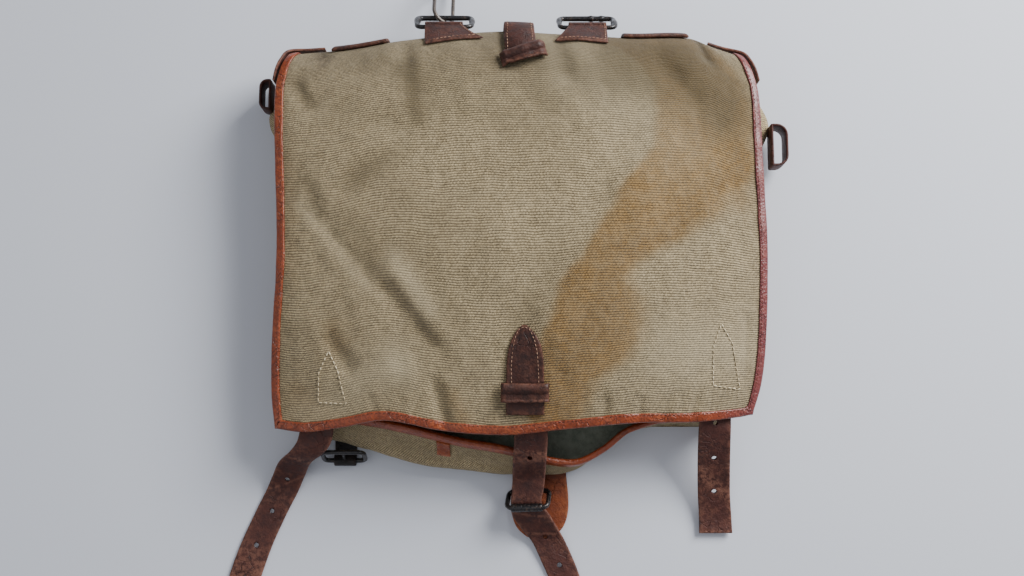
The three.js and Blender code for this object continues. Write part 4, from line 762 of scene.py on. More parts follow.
SMALL_FOLDS = np.array([
    [0.36, 0.95, 0.35, 1, 0.012, -0.02], [0.5, 0.95, 0.5, 1, 0.012, -0.02],
    [0.62, 0.94, 0.62, 1, 0.012, -0.018], [0.73, 0.95, 0.72, 1, 0.012, -0.018],
    [0.92, 0.75, 0.93, 0.9, 0.012, -0.018], [-0.6, 0.95, -0.58, 1, 0.012, -0.015],
    [-0.45, 0.94, -0.46, 1, 0.01, 0.012], [0.12, 0.9, 0.12, 0.99, 0.02, 0.012],
    [-0.88, 0.4, -0.42, 0.74, 0.022, 0.018], [-0.86, 0.44, -0.55, 0.68, 0.02, -0.016],
    [-0.7, 0.4, -0.5, 0.3, 0.03, -0.018], [-0.8, 0.16, -0.5, 0.26, 0.035, -0.018],
    [0.05, 0.14, 0.25, 0.3, 0.035, -0.016], [0.25, 0.06, 0.3, 0.16, 0.03, 0.018],
    [-0.25, 0.05, -0.2, 0.2, 0.035, 0.018], [-0.35, 0.05, -0.38, 0.2, 0.03, -0.018],
    [0.6, 0.08, 0.72, 0.2, 0.03, -0.022], [0.36, 0.56, 0.44, 0.66, 0.03, 0.014],
    [0.4, 0.6, 0.7, 0.66, 0.03, -0.01], [-0.1, 0.5, -0.3, 0.6, 0.05, 0.012],
])


# %% The flap's surface
def fold_height(across, down, folds):
    """Sum over the folds of height * exp(-(distance to the fold's line / width)^2)."""
    x, y = across * HALF_FLAP, down * FLAP_LENGTH
    total = np.zeros(np.broadcast(x, y).shape)
    for ax, ay, bx, by, width, height in folds:
        ax, ay, bx, by = ax * HALF_FLAP, ay * FLAP_LENGTH, bx * HALF_FLAP, by * FLAP_LENGTH
        dx, dy = bx - ax, by - ay
        s = np.clip(((x - ax) * dx + (y - ay) * dy) / (dx * dx + dy * dy), 0, 1)
        off = np.hypot(x - ax - s * dx, y - ay - s * dy) / (width * FLAP_LENGTH)
        total += height * np.exp(-off * off)
    return total


def flap_surface(across, at):
    """The flap's middle: across from -1 to 1, at from its root over the fold to its edge."""
    down = np.maximum(curve(FLAP_SECTIONS, 2, at), 0)
    back = curve(FLAP_SECTIONS, 1, at)
    side = (across + 1) / 2
    half = HALF_FLAP * (curve(FLAP_SIDES, 1, down) * (1 - side) + curve(FLAP_SIDES, 2, down) * side)
    top = BACK_TOP + FOLD_REACH * curve(FOLD_LINE, 1, across)
    bottom = BACK_TOP - FLAP_LENGTH * (1 + curve(FLAP_HEM, 1, across))
    y = top * (1 - back) + FLAP_ROOT * back - down * (top - bottom)
    slack = np.abs(across) ** 3
    height = (
        curve(FLAP_SECTIONS, 3, at) * (1 - slack)
        + curve(FLAP_SECTIONS, 4, at) * slack
        + curve(FLAP_HEM, 2, across) * ramp(at, 0.72, 1)
        + fold_height(across, down, FLAP_FOLDS) * ramp(at, 0.17, 0.26)
        + fold_height(across, down, SMALL_FOLDS) * ramp(at, 0.2, 0.3)
    )
    x = across * half
    uneven = waves(x, y, seed=4, scale=46) * 0.7 + waves(x, y, seed=14, scale=19) * 0.22
    z = ROOT_HEIGHT + (PACK_DEPTH - ROOT_HEIGHT) * height + uneven * ramp(at, 0.1, 0.3)
    return np.stack([x, y, z], -1)


STEP = 1e-3


def flap_normal(across, at):
    """Outwards, square to two short steps on the flap."""
    low, high = np.clip(across - STEP, -1, 1), np.clip(across + STEP, -1, 1)
    before, after = np.clip(at - STEP, 0, 1), np.clip(at + STEP, 0, 1)
    a = flap_surface(high, at) - flap_surface(low, at)
    b = flap_surface(across, before) - flap_surface(across, after)
    return unit(np.cross(a, b))


def flap_shares(x, y):
    """The flap's two shares at a place in plan, found by halving the interval."""
    x, y = np.broadcast_arrays(np.asarray(x, float), np.asarray(y, float))
    across = x / HALF_FLAP
    for _ in range(5):
        low, high = np.full(x.shape, 0.18), np.ones(x.shape)
        for _ in range(22):
            at = (low + high) / 2
            above = flap_surface(across, at)[..., 1] > y
            low, high = np.where(above, at, low), np.where(above, high, at)
        across = np.clip(across + (x - flap_surface(across, at)[..., 0]) / HALF_FLAP, -1, 1)
    return across, at


def on_flap(x, y, lift):
    """A point lift above the flap's middle at a place in plan."""
    across, at = flap_shares(x, y)
    return flap_surface(across, at) + flap_normal(across, at) * np.asarray(lift)[..., None]


# %% Tables of the flap's stains and painted shade
# across, down, to across, to down, width, strength: strokes of each mask, of stains and of painted
# shade
GOLDEN = np.array([
    [0.93, 0.32, 0.9, 0.44, 0.03, 0.6], [-0.75, 0.76, -0.73, 0.8, 0.03, 0.35],
    [-0.26, 0.92, -0.22, 0.99, 0.02, 0.4], [0.04, 0.93, 0.1, 0.97, 0.03, 0.4],
    [-0.95, 0.3, -0.95, 0.6, 0.03, 0.2], [-0.9, 0.9, -0.75, 0.98, 0.03, 0.25],
])
# down, left, right: the golden-brown zone lies between two lines, crisp on its left; its tone is
# real and its darkening is painted shade
GOLDEN_SHADE_ZONE = np.array([
    [0, 0.3, 0.8], [0.044, 0.4, 0.9], [0.116, 0.53, 0.95], [0.2, 0.565, 0.99],
    [0.308, 0.53, 0.97], [0.416, 0.42, 0.888], [0.52, 0.31, 0.74], [0.592, 0.235, 0.53],
    [0.632, 0.19, 0.45], [0.692, 0.14, 0.475], [0.764, 0.104, 0.502], [0.812, 0.084, 0.49],
    [0.86, 0.068, 0.41], [0.908, 0.056, 0.315], [1, 0.044, 0.22],
])
# Strokes of painted olive shade, in folds, along the left edge and at the top where the flap turns
# away from the light.
OLIVE_SHADE = np.array([
    [-0.47, 0.1, -0.41, 0.24, 0.03, 0.45], [-0.69, 0.39, -0.5, 0.32, 0.035, 0.35],
    [-0.75, 0.19, -0.55, 0.24, 0.035, 0.3], [-0.35, 0.16, 0.16, 0.28, 0.08, 0.22],
    [-0.87, 0.36, -0.81, 0.44, 0.025, 0.4], [-0.69, 0.49, -0.57, 0.6, 0.045, 0.3],
    [-0.39, 0.52, -0.31, 0.76, 0.09, 0.2], [0.32, 0.15, 0.48, 0.13, 0.05, 0.25],
    [0.08, 0.19, 0.14, 0.21, 0.03, 0.3], [0.45, 0.06, 0.84, 0.13, 0.11, 0.8],
    [0.68, 0.1, 0.8, 0.24, 0.07, 0.4], [-0.65, 0.04, 0.35, 0.07, 0.1, 0.3],
    [0.1, 0.62, 0.02, 0.76, 0.05, 0.22], [-0.9, 0.1, -0.86, 0.16, 0.02, 0.4],
    [-0.3, 0.9, -0.28, 0.99, 0.016, 0.45], [0.36, 0.93, 0.36, 0.98, 0.012, 0.3],
    [0.6, 0.94, 0.62, 0.98, 0.012, 0.3], [-0.05, 0.04, 0.2, 0.12, 0.05, 0.35],
    [-0.99, 0.1, -0.97, 0.95, 0.03, 0.25],
])
# Strokes of painted shade in creases, at the top corners, round the keeper and along the edges,
# with one real stain at the right.
GRIME_AND_SHADE = np.array([
    [-0.86, 0.02, -0.82, 0.045, 0.022, 0.8], [0.8, 0, 0.805, 0.07, 0.018, 0.85],
    [-0.14, 0, -0.1, 0.09, 0.035, 0.55], [0.17, 0, 0.15, 0.1, 0.03, 0.5],
    [0.9, 0.3, 0.92, 0.36, 0.025, 0.3], [0.32, 0.68, 0.3, 0.72, 0.03, 0.25],
    [0.05, 0.09, 0.05, 0.15, 0.05, 0.35], [-0.45, 0.03, -0.42, 0.14, 0.02, 0.25],
    [-0.5, 0.66, -0.34, 0.79, 0.014, 0.35], [-0.9, 0, -0.35, 0, 0.02, 0.35],
    [0.2, 0, 0.9, 0, 0.02, 0.35], [-0.99, 0.1, -0.99, 0.98, 0.012, 0.35],
    [0.99, 0.1, 0.99, 0.98, 0.012, 0.35], [-0.98, 0.99, 0.98, 0.99, 0.012, 0.35],
])
FADED = np.array([
    [-0.78, 0.95, -0.5, 0.86, 0.06, 0.3], [-0.5, 0.86, -0.48, 0.87, 0.04, 0.3],
    [0.6, 0.85, 0.9, 0.8, 0.09, 0.3], [-0.5, 0.6, -0.36, 0.72, 0.03, 0.3],
    [0.2, 0.1, 0.6, 0.3, 0.1, 0.2], [-0.9, 0.42, -0.62, 0.66, 0.02, 0.2],
])


# %% The flap
def flap_masks(i, j):
    """Strength of each mask of stain and painted shade: its strokes, a little ragged, and the
    golden zone between its two lines, which is partly painted shade.
    """
    across, down = 2 * i - 1, np.maximum(curve(FLAP_SECTIONS, 2, j), 0)
    x, y = across * HALF_FLAP, down * FLAP_LENGTH
    ragged = 1 + 0.35 * waves(x, y, seed=9, scale=60)
    wander = 0.02 * waves(x, y, seed=12, scale=35)
    from_left = across + wander - curve(GOLDEN_SHADE_ZONE, 1, down)
    to_right = curve(GOLDEN_SHADE_ZONE, 2, down) - across - wander
    zone = ramp(from_left, -0.02, 0.03) * ramp(to_right, -0.05, 0.07) * 0.92
    return {
        "golden": np.clip(zone + fold_height(across, down, GOLDEN) * ragged, 0, 1),
        "olive": np.clip(fold_height(across, down, OLIVE_SHADE) * ragged, 0, 0.8),
        "grime": np.clip(fold_height(across, down, GRIME_AND_SHADE) * ragged, 0, 1),
        "faded": np.clip(fold_height(across, down, FADED) * ragged, 0, 0.6),
    }


flap = sheet(
    "flap_cloth", lambda i, j: flap_surface(2 * i - 1, j), 2 * HALF_FLAP, FLAP_CLOTH_LENGTH,
    CLOTH, 200, 210, masks=flap_masks,
)
dressed(flap, flap_canvas, "canvas", "flap")

# %% [markdown]
# ## The bound edges
# A strip of red-brown leather is folded over the cut edge of the flap, and another over the
# mouth of the tray. It could be a bevelled tube, but its look is a flat-sided U with a round
# nose, so a U outline is carried along the edge.


# %% Binding
# The leg's width, half the gap for the cloth, the leather's thickness and the nose's reach.
BINDING, BINDING_GAP, BINDING_LEATHER, BINDING_NOSE = 5.0, 0.95, 1.15, 1.5


def binding_outline():
    """A U: two flat legs and a half oval nose, outer line first and then the inner one back."""
    turn = np.linspace(np.pi / 2, -np.pi / 2, 9)
    width, gap, outer = BINDING, BINDING_GAP, BINDING_GAP + BINDING_LEATHER
    nose = np.stack([BINDING_NOSE * np.cos(turn), outer * np.sin(turn)], -1)
    core = np.stack([gap * 0.5 * np.cos(turn[::2]), gap * np.sin(turn[::2])], -1)[::-1]
    top = np.array([[-width, gap], [-width, outer * 0.86], [-width + 0.5, outer]])
    top = np.vstack([top, [[-width / 2, outer * 1.04]]])
    return np.vstack([top, nose, top[::-1] * (1, -1), core])


def edge_frames(edge, inside, normal):
    """An edge's points, outwards, and up made square to outwards."""
    out = unit(edge - inside)
    up = unit(normal - out * np.sum(normal * out, -1, keepdims=True))
    return edge, out, up


def flap_edge():
    """Frames from the root down the left side, along the bottom and back up the right side."""
    at = np.linspace(0, 1, 150)
    side = []
    for across in (-1.0, 1.0):
        edge = flap_surface(np.full_like(at, across), at)
        inside = flap_surface(np.full_like(at, across * (1 - BINDING / HALF_FLAP)), at)
        side.append(edge_frames(edge, inside, flap_normal(np.full_like(at, across * 0.995), at)))
    across = np.linspace(-1, 1, 190)
    low = np.ones_like(across)
    inside = flap_surface(across, low - BINDING / FLAP_CLOTH_LENGTH)
    hem = edge_frames(flap_surface(across, low), inside, flap_normal(across, low - 0.004))
    frames = [[side[0][k][:-1], hem[k], side[1][k][::-1][1:]] for k in range(3)]
    for corner, arm in ((0, side[0]), (-1, side[1])):
        both = unit(hem[1][corner] + arm[1][-1]) * 1.25
        frames[1][1][corner] = both
    at, out, up = (np.vstack(part) for part in frames)
    swell = 1 + 0.05 * waves(at[:, 0], at[:, 1], seed=12, scale=30)[:, None]
    return at, out * swell, up * swell


flap_binding = carried("flap_edge_binding", binding_outline(), *flap_edge())
dressed(flap_binding, binding_leather, "binding_leather", "flap_binding")

# %% [markdown]
# ## The tray under the flap
# The gusset is one long strip of canvas sewn round the back panel. It stands up at the sides,
# and at the bottom it sags outwards, where the pack is slack. A ring-shaped sheet is worked
# out from tables of how far it bulges and how high its mouth stands.

# %% Gusset
HALF_GUSSET, GUSSET_TOP, GUSSET_BOTTOM, GUSSET_CORNER = 149.0, 121.4, -123.0, 25.0
MOUTH_HEIGHT, BOTTOM_BULGE, GUSSET_ROUND, GUSSET_HIGH = 31.0, 35.0, 1010.0, 42.0
MOUTH_STEP = 36.0  # mm up the wall near its mouth for a whole share
# round, bulge, mouth, height
GUSSET_SECTIONS = np.array([
    [0, 0, 0, 1.3], [0.1, 0, -0.03, 1.25], [0.135, 0.22, -0.08, 1.13], [0.168, 0.8, -0.11, 1.03],
    [0.195, 0.5, -0.12, 1], [0.25, 0.2, -0.12, 1], [0.33, 0.18, -0.12, 0.9],
    [0.365, 0.1, -0.1, 0.72], [0.4, 0.04, -0.08, 0.72], [0.43, 0.18, 0.16, 0.74],
    [0.446, 0.52, 0.52, 0.66], [0.463, 0.88, 0.76, 0.62], [0.484, 1, 0.7, 0.7],
    [0.51, 1, 0.5, 0.8], [0.54, 0.93, 0.34, 0.85], [0.57, 0.8, 0.12, 0.88],
    [0.6, 0.54, -0.05, 0.85], [0.622, 0.36, -0.1, 0.75], [0.65, 0.18, -0.12, 0.85],
    [0.75, 0.2, -0.12, 1], [0.805, 0.35, -0.12, 1], [0.836, 0.8, -0.1, 1.05],
    [0.868, 0.1, -0.1, 1.1], [0.9, 0, -0.03, 1.25], [1, 0, 0, 1.3],
])
# at, rise, lean, up
GUSSET_WALL = np.array([
    [0, 0, 0, 0], [0.15, 0.55, 0, 0.05], [0.35, 1, 0.08, 0.26], [0.55, 1, 0.4, 0.52],
    [0.8, 1, 0.82, 0.8], [1, 1, 1, 1],
])


def seam_outline(share):
    """Place and outward direction round a rounded rectangle, clockwise from the top's middle."""
    r = GUSSET_CORNER
    w, top, low = HALF_GUSSET - r, GUSSET_TOP - r, GUSSET_BOTTOM + r
    quarter = np.pi * r / 2
    lengths = np.array([w, quarter, top - low, quarter, 2 * w, quarter, top - low, quarter, w])
    stops = np.concatenate([[0], np.cumsum(lengths)])
    d = (np.asarray(share) % 1.0) * stops[-1]
    part = np.clip(np.searchsorted(stops, d, side="right") - 1, 0, 8)
    s = d - stops[part]
    straight = part % 2 == 0
    facing = part // 2 * np.pi / 2 + np.where(straight, 0.0, s / r)
    out = np.stack([np.sin(facing), np.cos(facing)], -1)
    corners = np.array([[w, top], [w, low], [-w, low], [-w, top]])
    starts = np.vstack([[[0, top]], np.repeat(corners, 2, axis=0)])
    heading = np.stack([np.cos(facing), -np.sin(facing)], -1)
    return starts[part] + out * r + np.where(straight[..., None], heading * s[..., None], 0.0), out


def gusset_surface(share, at):
    """Seam point plus outward stand: bulge low down, the mouth's own lean at the edge."""
    share = np.asarray(share) % 1.0
    seam, out = seam_outline(share)
    lean = curve(GUSSET_WALL, 2, at)
    stand = curve(GUSSET_SECTIONS, 1, share) * (1 - lean) + curve(GUSSET_SECTIONS, 2, share) * lean
    stand = BOTTOM_BULGE * curve(GUSSET_WALL, 1, at) * stand
    z = ROOT_HEIGHT + MOUTH_HEIGHT * curve(GUSSET_SECTIONS, 3, share) * curve(GUSSET_WALL, 3, at)
    plan = seam + out * stand[..., None]
    crumple = waves(share * GUSSET_ROUND, at * 40, seed=21, scale=30) * 0.7
    crumple = crumple * np.sin(np.pi * np.clip(at, 0, 1))
    return np.concatenate([plan + out * crumple[..., None], z[..., None]], -1)


gusset = sheet(
    "gusset_cloth", gusset_surface, GUSSET_ROUND, GUSSET_HIGH, CLOTH, 420, 26, closed=True
)
dressed(gusset, body_canvas, "dark_canvas", "gusset")


def mouth_frames():
    """Frames round the gusset's upper edge."""
    share = np.arange(420) / 420
    top = np.ones_like(share)
    edge, inside = gusset_surface(share, top), gusset_surface(share, top - BINDING / MOUTH_STEP)
    along = np.roll(edge, -1, 0) - np.roll(edge, 1, 0)
    out = unit(edge - inside)
    return edge, out, unit(np.cross(along, out))


mouth = carried("mouth_edge_binding", binding_outline(), *mouth_frames(), closed=True)
dressed(mouth, binding_leather, "binding_leather", "mouth_binding")

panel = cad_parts["back_panel"]
panel.data.materials.clear()
panel.data.materials.append(panel_canvas)
print("flap and tray made")

# %% The binding's stitches
SEAM_INSET, SEAM_LIFT = 3.4, 2.2
FLAP_STEP = 290.0  # mm down the flap near its hem for a whole share


def binding_seam(side):
    """A line just inside the flap's edge, down one side and to the middle of the hem."""
    edge, hem = side * (1 - SEAM_INSET / HALF_FLAP), 1 - SEAM_INSET / FLAP_STEP
    across = np.concatenate([np.full(200, edge), np.linspace(edge, 0, 160)[1:]])
    at = np.concatenate([np.linspace(0.24, hem, 200), np.full(159, hem)])
    normal = flap_normal(across, at)
    normal = np.where(normal[:, 2:] < 0, -normal, normal)
    return flap_surface(across, at) + normal * SEAM_LIFT, normal


seams = [binding_seam(-1), binding_seam(1)]
binding_seams = stitches("binding_stitches", seams, length=1.8, gap=1.0, thick=0.45)
dressed(binding_seams, seam_thread, "binding_leather")

# %% [markdown]
# ## Leather sewn on the flap
# The pointed tab with its keeper, and the little stitched outlines beside the bottom corners.
# Each piece of leather takes its surface from the flap under it, raised by the gap and half
# its own thickness, so that it follows the slack cloth.

# %% Tab, keeper and their stitching
TAB_ACROSS, TAB_WIDTH, TAB_LENGTH, TAB_END_INSET = 4.0, 25.0, 57.0, 11.0
hem = flap_surface(np.array(TAB_ACROSS / HALF_FLAP), np.array(1.0))
tab_end = float(hem[1]) + TAB_END_INSET
# along, half
POINTED = np.array([[0.0, 0.05], [0.1, 0.27], [0.24, 0.42], [0.42, 0.48], [1.0, 0.5]])
LEAF = np.array([[0.0, 0.42], [0.4, 0.46], [0.7, 0.5], [0.88, 0.42], [0.97, 0.24], [1.0, 0.06]])


def strip_on_flap(start, end, width, outline, lift):
    """Surface of a strip on the flap from one place in plan to another, lift(off, j) above it."""
    start, end = np.array(start, float), np.array(end, float)
    along = end - start
    side = np.array([along[1], -along[0]]) / np.hypot(*along)

    def surface(i, j):
        half = curve(outline, 1, j) if outline is not None else 0.5
        off = (2 * i - 1) * half * width
        x = start[0] + along[0] * j + side[0] * off
        y = start[1] + along[1] * j + side[1] * off
        return on_flap(x, y, lift(off, j))

    return surface


tab_surface = strip_on_flap(
    (TAB_ACROSS, tab_end + TAB_LENGTH), (TAB_ACROSS, tab_end), TAB_WIDTH, POINTED,
    lambda off, j: CLOTH / 2 + 0.3 + TRIM_LEATHER / 2 + 0.25 * np.cos(off / 5.0),
)
tab = sheet("pointed_tab", tab_surface, TAB_WIDTH, TAB_LENGTH, TRIM_LEATHER, 30, 60)
dressed(tab, tab_leather, "tab_leather", "front_tab")


def band_lift(leather, strip_width, strip_leather, ridges=0.0):
    """Up over the strip and down beside it; ridges adds two rounded folds across the band."""
    low = CLOTH / 2 + 0.35 + leather / 2
    step, shoulder = strip_leather + 0.6, strip_width / 2 + 0.8

    def lift(off, j):
        fold = ridges * np.maximum(np.sin(2.5 * np.pi * j - 0.25 * np.pi), -0.4)
        return low + (step + fold) * (1 - ramp(np.abs(off), shoulder, shoulder + step + 1.0))

    return lift


KEEPER_LONG, KEEPER_HIGH = 30.5, 12.0
keeper_low = tab_end + TAB_LENGTH * 0.15
keeper_surface = strip_on_flap(
    (TAB_ACROSS, keeper_low + KEEPER_HIGH), (TAB_ACROSS, keeper_low), KEEPER_LONG, None,
    band_lift(TRIM_LEATHER, TAB_WIDTH, TRIM_LEATHER, 0.8),
)
keeper = sheet("tab_keeper", keeper_surface, KEEPER_LONG, KEEPER_HIGH, TRIM_LEATHER, 46, 22)
dressed(keeper, tab_leather, "tab_leather", "front_keeper")


# %% Stitching on leather
def seam_on(surface, path, lift, count=120):
    """Points and normals along a line of shares on a surface, raised by lift."""
    path = np.asarray(path, float)
    walk = np.linspace(0, 1, len(path))
    s = np.linspace(0, 1, count)
    i, j = np.interp(s, walk, path[:, 0]), np.interp(s, walk, path[:, 1])
    across = surface(np.clip(i + STEP, 0, 1), j) - surface(np.clip(i - STEP, 0, 1), j)
    along = surface(i, np.clip(j + STEP, 0, 1)) - surface(i, np.clip(j - STEP, 0, 1))
    normal = unit(np.cross(across, along))
    if normal[:, 2].sum() < 0:
        normal = -normal
    return surface(i, j) + normal * lift, normal


upwards = [[0.14, j] for j in np.linspace(0.74, 0.05, 16)]
peak = [[0.2, 0.045], [0.5, 0.03], [0.8, 0.045]]
downwards = [[0.86, j] for j in np.linspace(0.05, 0.74, 16)]
tab_seam = seam_on(tab_surface, upwards + peak + downwards, TRIM_LEATHER / 2 + 0.05, 200)
seam = stitches("tab_stitches", [tab_seam], length=1.7, gap=0.9, thick=0.55)
dressed(seam, brown_thread, "tab_leather")

# The stitched outlines, as plan corners in mm: two narrow five-sided shapes.
OUTLINES = [
    [(-131, -111), (-130.5, -92), (-124.5, -78), (-118, -91), (-112.5, -112), (-131, -111)],
    [(126.5, -100), (127, -74), (132.5, -60), (140, -73), (145, -102), (126.5, -100)],
]
outline_seams = []
for corners in OUTLINES:
    plan = np.array(corners, float)
    plan = even_line(plan, int(walked(plan)[-1]))
    across, at = flap_shares(plan[:, 0], plan[:, 1])
    normal = flap_normal(across, at)
    outline_seams.append((flap_surface(across, at) + normal * (CLOTH / 2 + 0.35), normal))
seam = stitches("flap_outline_stitches", outline_seams, length=2.4, gap=1.0, thick=0.9)
dressed(seam, pale_thread, "canvas")

# %% [markdown]
# ## The straps
# Three leather straps are sewn under the flap and come out past its edge. A strap is a ribbon
# between two edge lines that run through rows of a table: how far out, how far aside, how
# high, how wide and how much it rolls. Real holes are cut through it with a round cutter.

# %% Straps
STRAP_WIDTH, STRAP_ROOT, STRAP_FLOOR = 22.5, 26.0, 1.2
UNDER_FLAP = CLOTH / 2 + 0.8 + 1.2 + 0.3 + STRAP_LEATHER / 2
# out, side, lift, wide, roll
LEFT_STRAP = np.array([
    [0, 0, 1, 1.04, 0], [0.08, -0.02, 0.9, 1.05, 0.02], [0.135, -0.06, 0.78, 1.08, 0.08],
    [0.19, -0.135, 0.5, 1, 0.1], [0.26, -0.18, 0.2, 0.98, 0.03], [0.35, -0.225, 0.03, 0.98, 0],
    [0.45, -0.275, 0, 0.97, 0], [0.62, -0.35, 0, 0.97, 0], [0.78, -0.405, 0, 0.97, 0],
    [0.9, -0.435, 0, 0.9, 0], [0.96, -0.448, 0, 0.6, 0], [1, -0.455, 0, 0.1, 0],
])
CENTRE_STRAP = np.array([
    [0, 0, 1, 0.98, 0], [0.07, 0, 0.93, 0.98, 0], [0.16, -0.005, 0.78, 0.98, 0.03],
    [0.26, -0.01, 0.46, 0.98, 0.12], [0.34, -0.014, 0.34, 0.96, 0.2],
    [0.425, -0.024, 0.31, 0.93, 0.2], [0.49, 0, 0.25, 1.12, 0.14], [0.57, 0.05, 0.14, 1.1, 0.04],
    [0.65, 0.105, 0.04, 1, 0], [0.78, 0.165, 0.005, 0.98, 0], [0.88, 0.205, 0, 0.9, 0],
    [0.955, 0.232, 0, 0.6, 0], [1, 0.245, 0, 0.1, 0],
])
RIGHT_STRAP = np.array([
    [0, 0, 1, 0.98, 0], [0.15, -0.005, 0.9, 0.98, 0], [0.4, 0.005, 0.55, 0.97, 0],
    [0.65, 0.02, 0.24, 0.97, 0], [0.85, 0.035, 0.09, 0.98, 0], [1, 0.04, 0.06, 1, 0],
])


def ribbon(rows):
    """Surface between the left and right edge lines of rows of (middle, across, width)."""
    middle = np.array([row[0] for row in rows], float)
    across = np.array([row[1] for row in rows], float)
    width = np.array([row[2] for row in rows], float)[:, None]
    low, high = middle - across * width / 2, middle + across * width / 2

    def surface(i, j):
        share = np.asarray(i)[..., None]
        return spline(low, j) * (1 - share) + spline(high, j) * share

    return surface


def under_flap(x, y, width):
    """A row of a ribbon against the flap's underside."""
    ends = np.array([x - width / 2, x + width / 2])
    edge = on_flap(ends, np.array([y, y]), np.full(2, -UNDER_FLAP))
    return edge.mean(0), unit(edge[1] - edge[0]), width


def strap_rows(across, reach, table, root_side):
    """Four rows under the flap, then the table's: its lift falls from the hem to the floor."""
    hem = flap_surface(np.array(across), np.array(1.0))
    wide = STRAP_WIDTH * table[0, 3]
    rows = [
        under_flap(hem[0] + root_side * back, hem[1] + back, wide)
        for back in np.array([1, 0.75, 0.5, 0.25]) * STRAP_ROOT
    ]
    start, slope, _ = under_flap(hem[0], hem[1] + 1.7, wide)
    for out, side, lift, width, roll in table:
        fade = float(1 - ramp(out * reach, 0, STRAP_WIDTH))
        tilt = slope[2] / slope[0] * fade + roll
        z = STRAP_FLOOR + lift * (start[2] - STRAP_FLOOR) + abs(roll * STRAP_WIDTH) / 2
        place = np.array([start[0] + side * reach, start[1] - out * reach, z])
        rows.append((place, unit(np.array([1.0, 0.0, tilt])), STRAP_WIDTH * width))
    return rows


# %% A strap with its holes
HOLE_RADIUS, CUT_REACH, CUT_SIDES = 1.7, 4.0, 20


def punched(piece, surface, shares):
    """Cuts a round hole through the piece at each share along its middle: each cutter is a
    short twenty-sided rod square to the surface."""
    turn = 2 * np.pi * np.arange(CUT_SIDES)[:, None] / CUT_SIDES
    points, faces = [], []
    for k, j in enumerate(shares):
        at = lambda i, j: surface(np.array(i), np.array(j))
        a, b = unit(at(0.6, j) - at(0.4, j)), unit(at(0.5, j + 0.004) - at(0.5, j - 0.004))
        n = unit(np.cross(a, b))
        ring = at(0.5, j) + HOLE_RADIUS * (a * np.cos(turn) + np.cross(n, a) * np.sin(turn))
        points += [(ring - CUT_REACH * n) * MM, (ring + CUT_REACH * n) * MM]
        low = np.arange(CUT_SIDES) + 2 * CUT_SIDES * k
        high, after = low + CUT_SIDES, np.roll(low, -1)
        faces += [low[::-1].tolist(), high.tolist()]
        faces += np.stack([low, after, after + CUT_SIDES, high], -1).tolist()
    mesh = bpy.data.meshes.new("cutter")
    mesh.from_pydata(np.vstack(points).tolist(), [], faces)
    cutter = bpy.data.objects.new("cutter", mesh)
    bpy.context.scene.collection.objects.link(cutter)
    cut = piece.modifiers.new("holes", "BOOLEAN")
    cut.object, cut.operation, cut.solver = cutter, "DIFFERENCE", "EXACT"
    bpy.context.view_layer.update()
    finished = piece.evaluated_get(bpy.context.evaluated_depsgraph_get())
    done = bpy.data.meshes.new_from_object(finished)
    piece.modifiers.clear()
    piece.data = done
    bpy.data.objects.remove(cutter)


def strap_piece(name, node, across, reach, table, holes, root_side, seed, rubs):
    """One strap: a ribbon, slightly uneven, with its holes and its rubbed bands."""
    rows = strap_rows(across, reach, table, root_side)
    plain = ribbon(rows)
    count, first = len(rows) - 1, len(rows) - len(table)
    length = STRAP_ROOT + reach * 1.1

    def surface(i, j):
        place = plain(i, j)
        dip = waves(i * STRAP_WIDTH, j * length, seed, scale=24) * 0.35 * ramp(j, 0.15, 0.35)
        place[..., 2] += np.abs(dip)
        return place

    def share_of(out):
        """The surface's share at a place out along the strap's table."""
        k = min(int(np.searchsorted(table[:, 0], out)), len(table) - 1) - 1
        return (first + k + (out - table[k, 0]) / (table[k + 1, 0] - table[k, 0])) / count

    def masks(i, j):
        rubbed = np.zeros_like(j)
        for out, slant, wide, strength in rubs:
            off = (j - share_of(out) - slant * (i - 0.5)) * length / wide
            rubbed = rubbed + strength * np.exp(-off * off)
        return {"rubbed": np.clip(rubbed, 0, 1)}

    piece = sheet(name, surface, STRAP_WIDTH, length, STRAP_LEATHER, 22, 150, masks=masks)
    piece.data.materials.append(strap_leather)
    punched(piece, surface, [share_of(out) for out in holes])
    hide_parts(node)
    print(f"{name}: {length:.0f} mm long, {len(piece.data.polygons)} faces, {len(holes)} holes")


# out, slant, width in mm, strength of each rubbed band across a strap
strap_piece(
    "left_strap", "strap_left", -0.84, 126.0, LEFT_STRAP, [0.28, 0.45, 0.63, 0.8], 0.3, 31,
    rubs=[(0.17, 0.05, 1.2, 0.7), (0.3, -0.06, 0.9, 0.5), (0.8, 0.0, 9.0, 0.5)],
)
strap_piece(
    "centre_strap", "strap_centre", 0.05, 118.0, CENTRE_STRAP, [0.17, 0.62, 0.78], -0.1, 32,
    rubs=[
        (0.14, 0.01, 0.8, 0.8), (0.175, -0.01, 2.2, 0.75), (0.49, 0.02, 0.8, 0.6), (0.6, 0, 1, 0.5),
    ],
)
strap_piece(
    "right_strap", "strap_right", 0.85, 79.0, RIGHT_STRAP, [0.08, 0.36, 0.64], 0.15, 33,
    rubs=[(0.58, 0.1, 4.0, 0.6), (1.0, 0.0, 1.6, 1.0)],
)

# %% [markdown]
# ## Buckles and metal loops
# They are bent from round iron rod and black-japanned. A rod is a circle carried round a
# rounded rectangle; the roller is a short tube with a few rings worn into it.

# %% Rod frames
WIRE, BUCKLE_WIDTH, BUCKLE_DEPTH, FRAME_CORNER, ROD_STEPS = 3.2, 31.0, 19.0, 4.0, 120


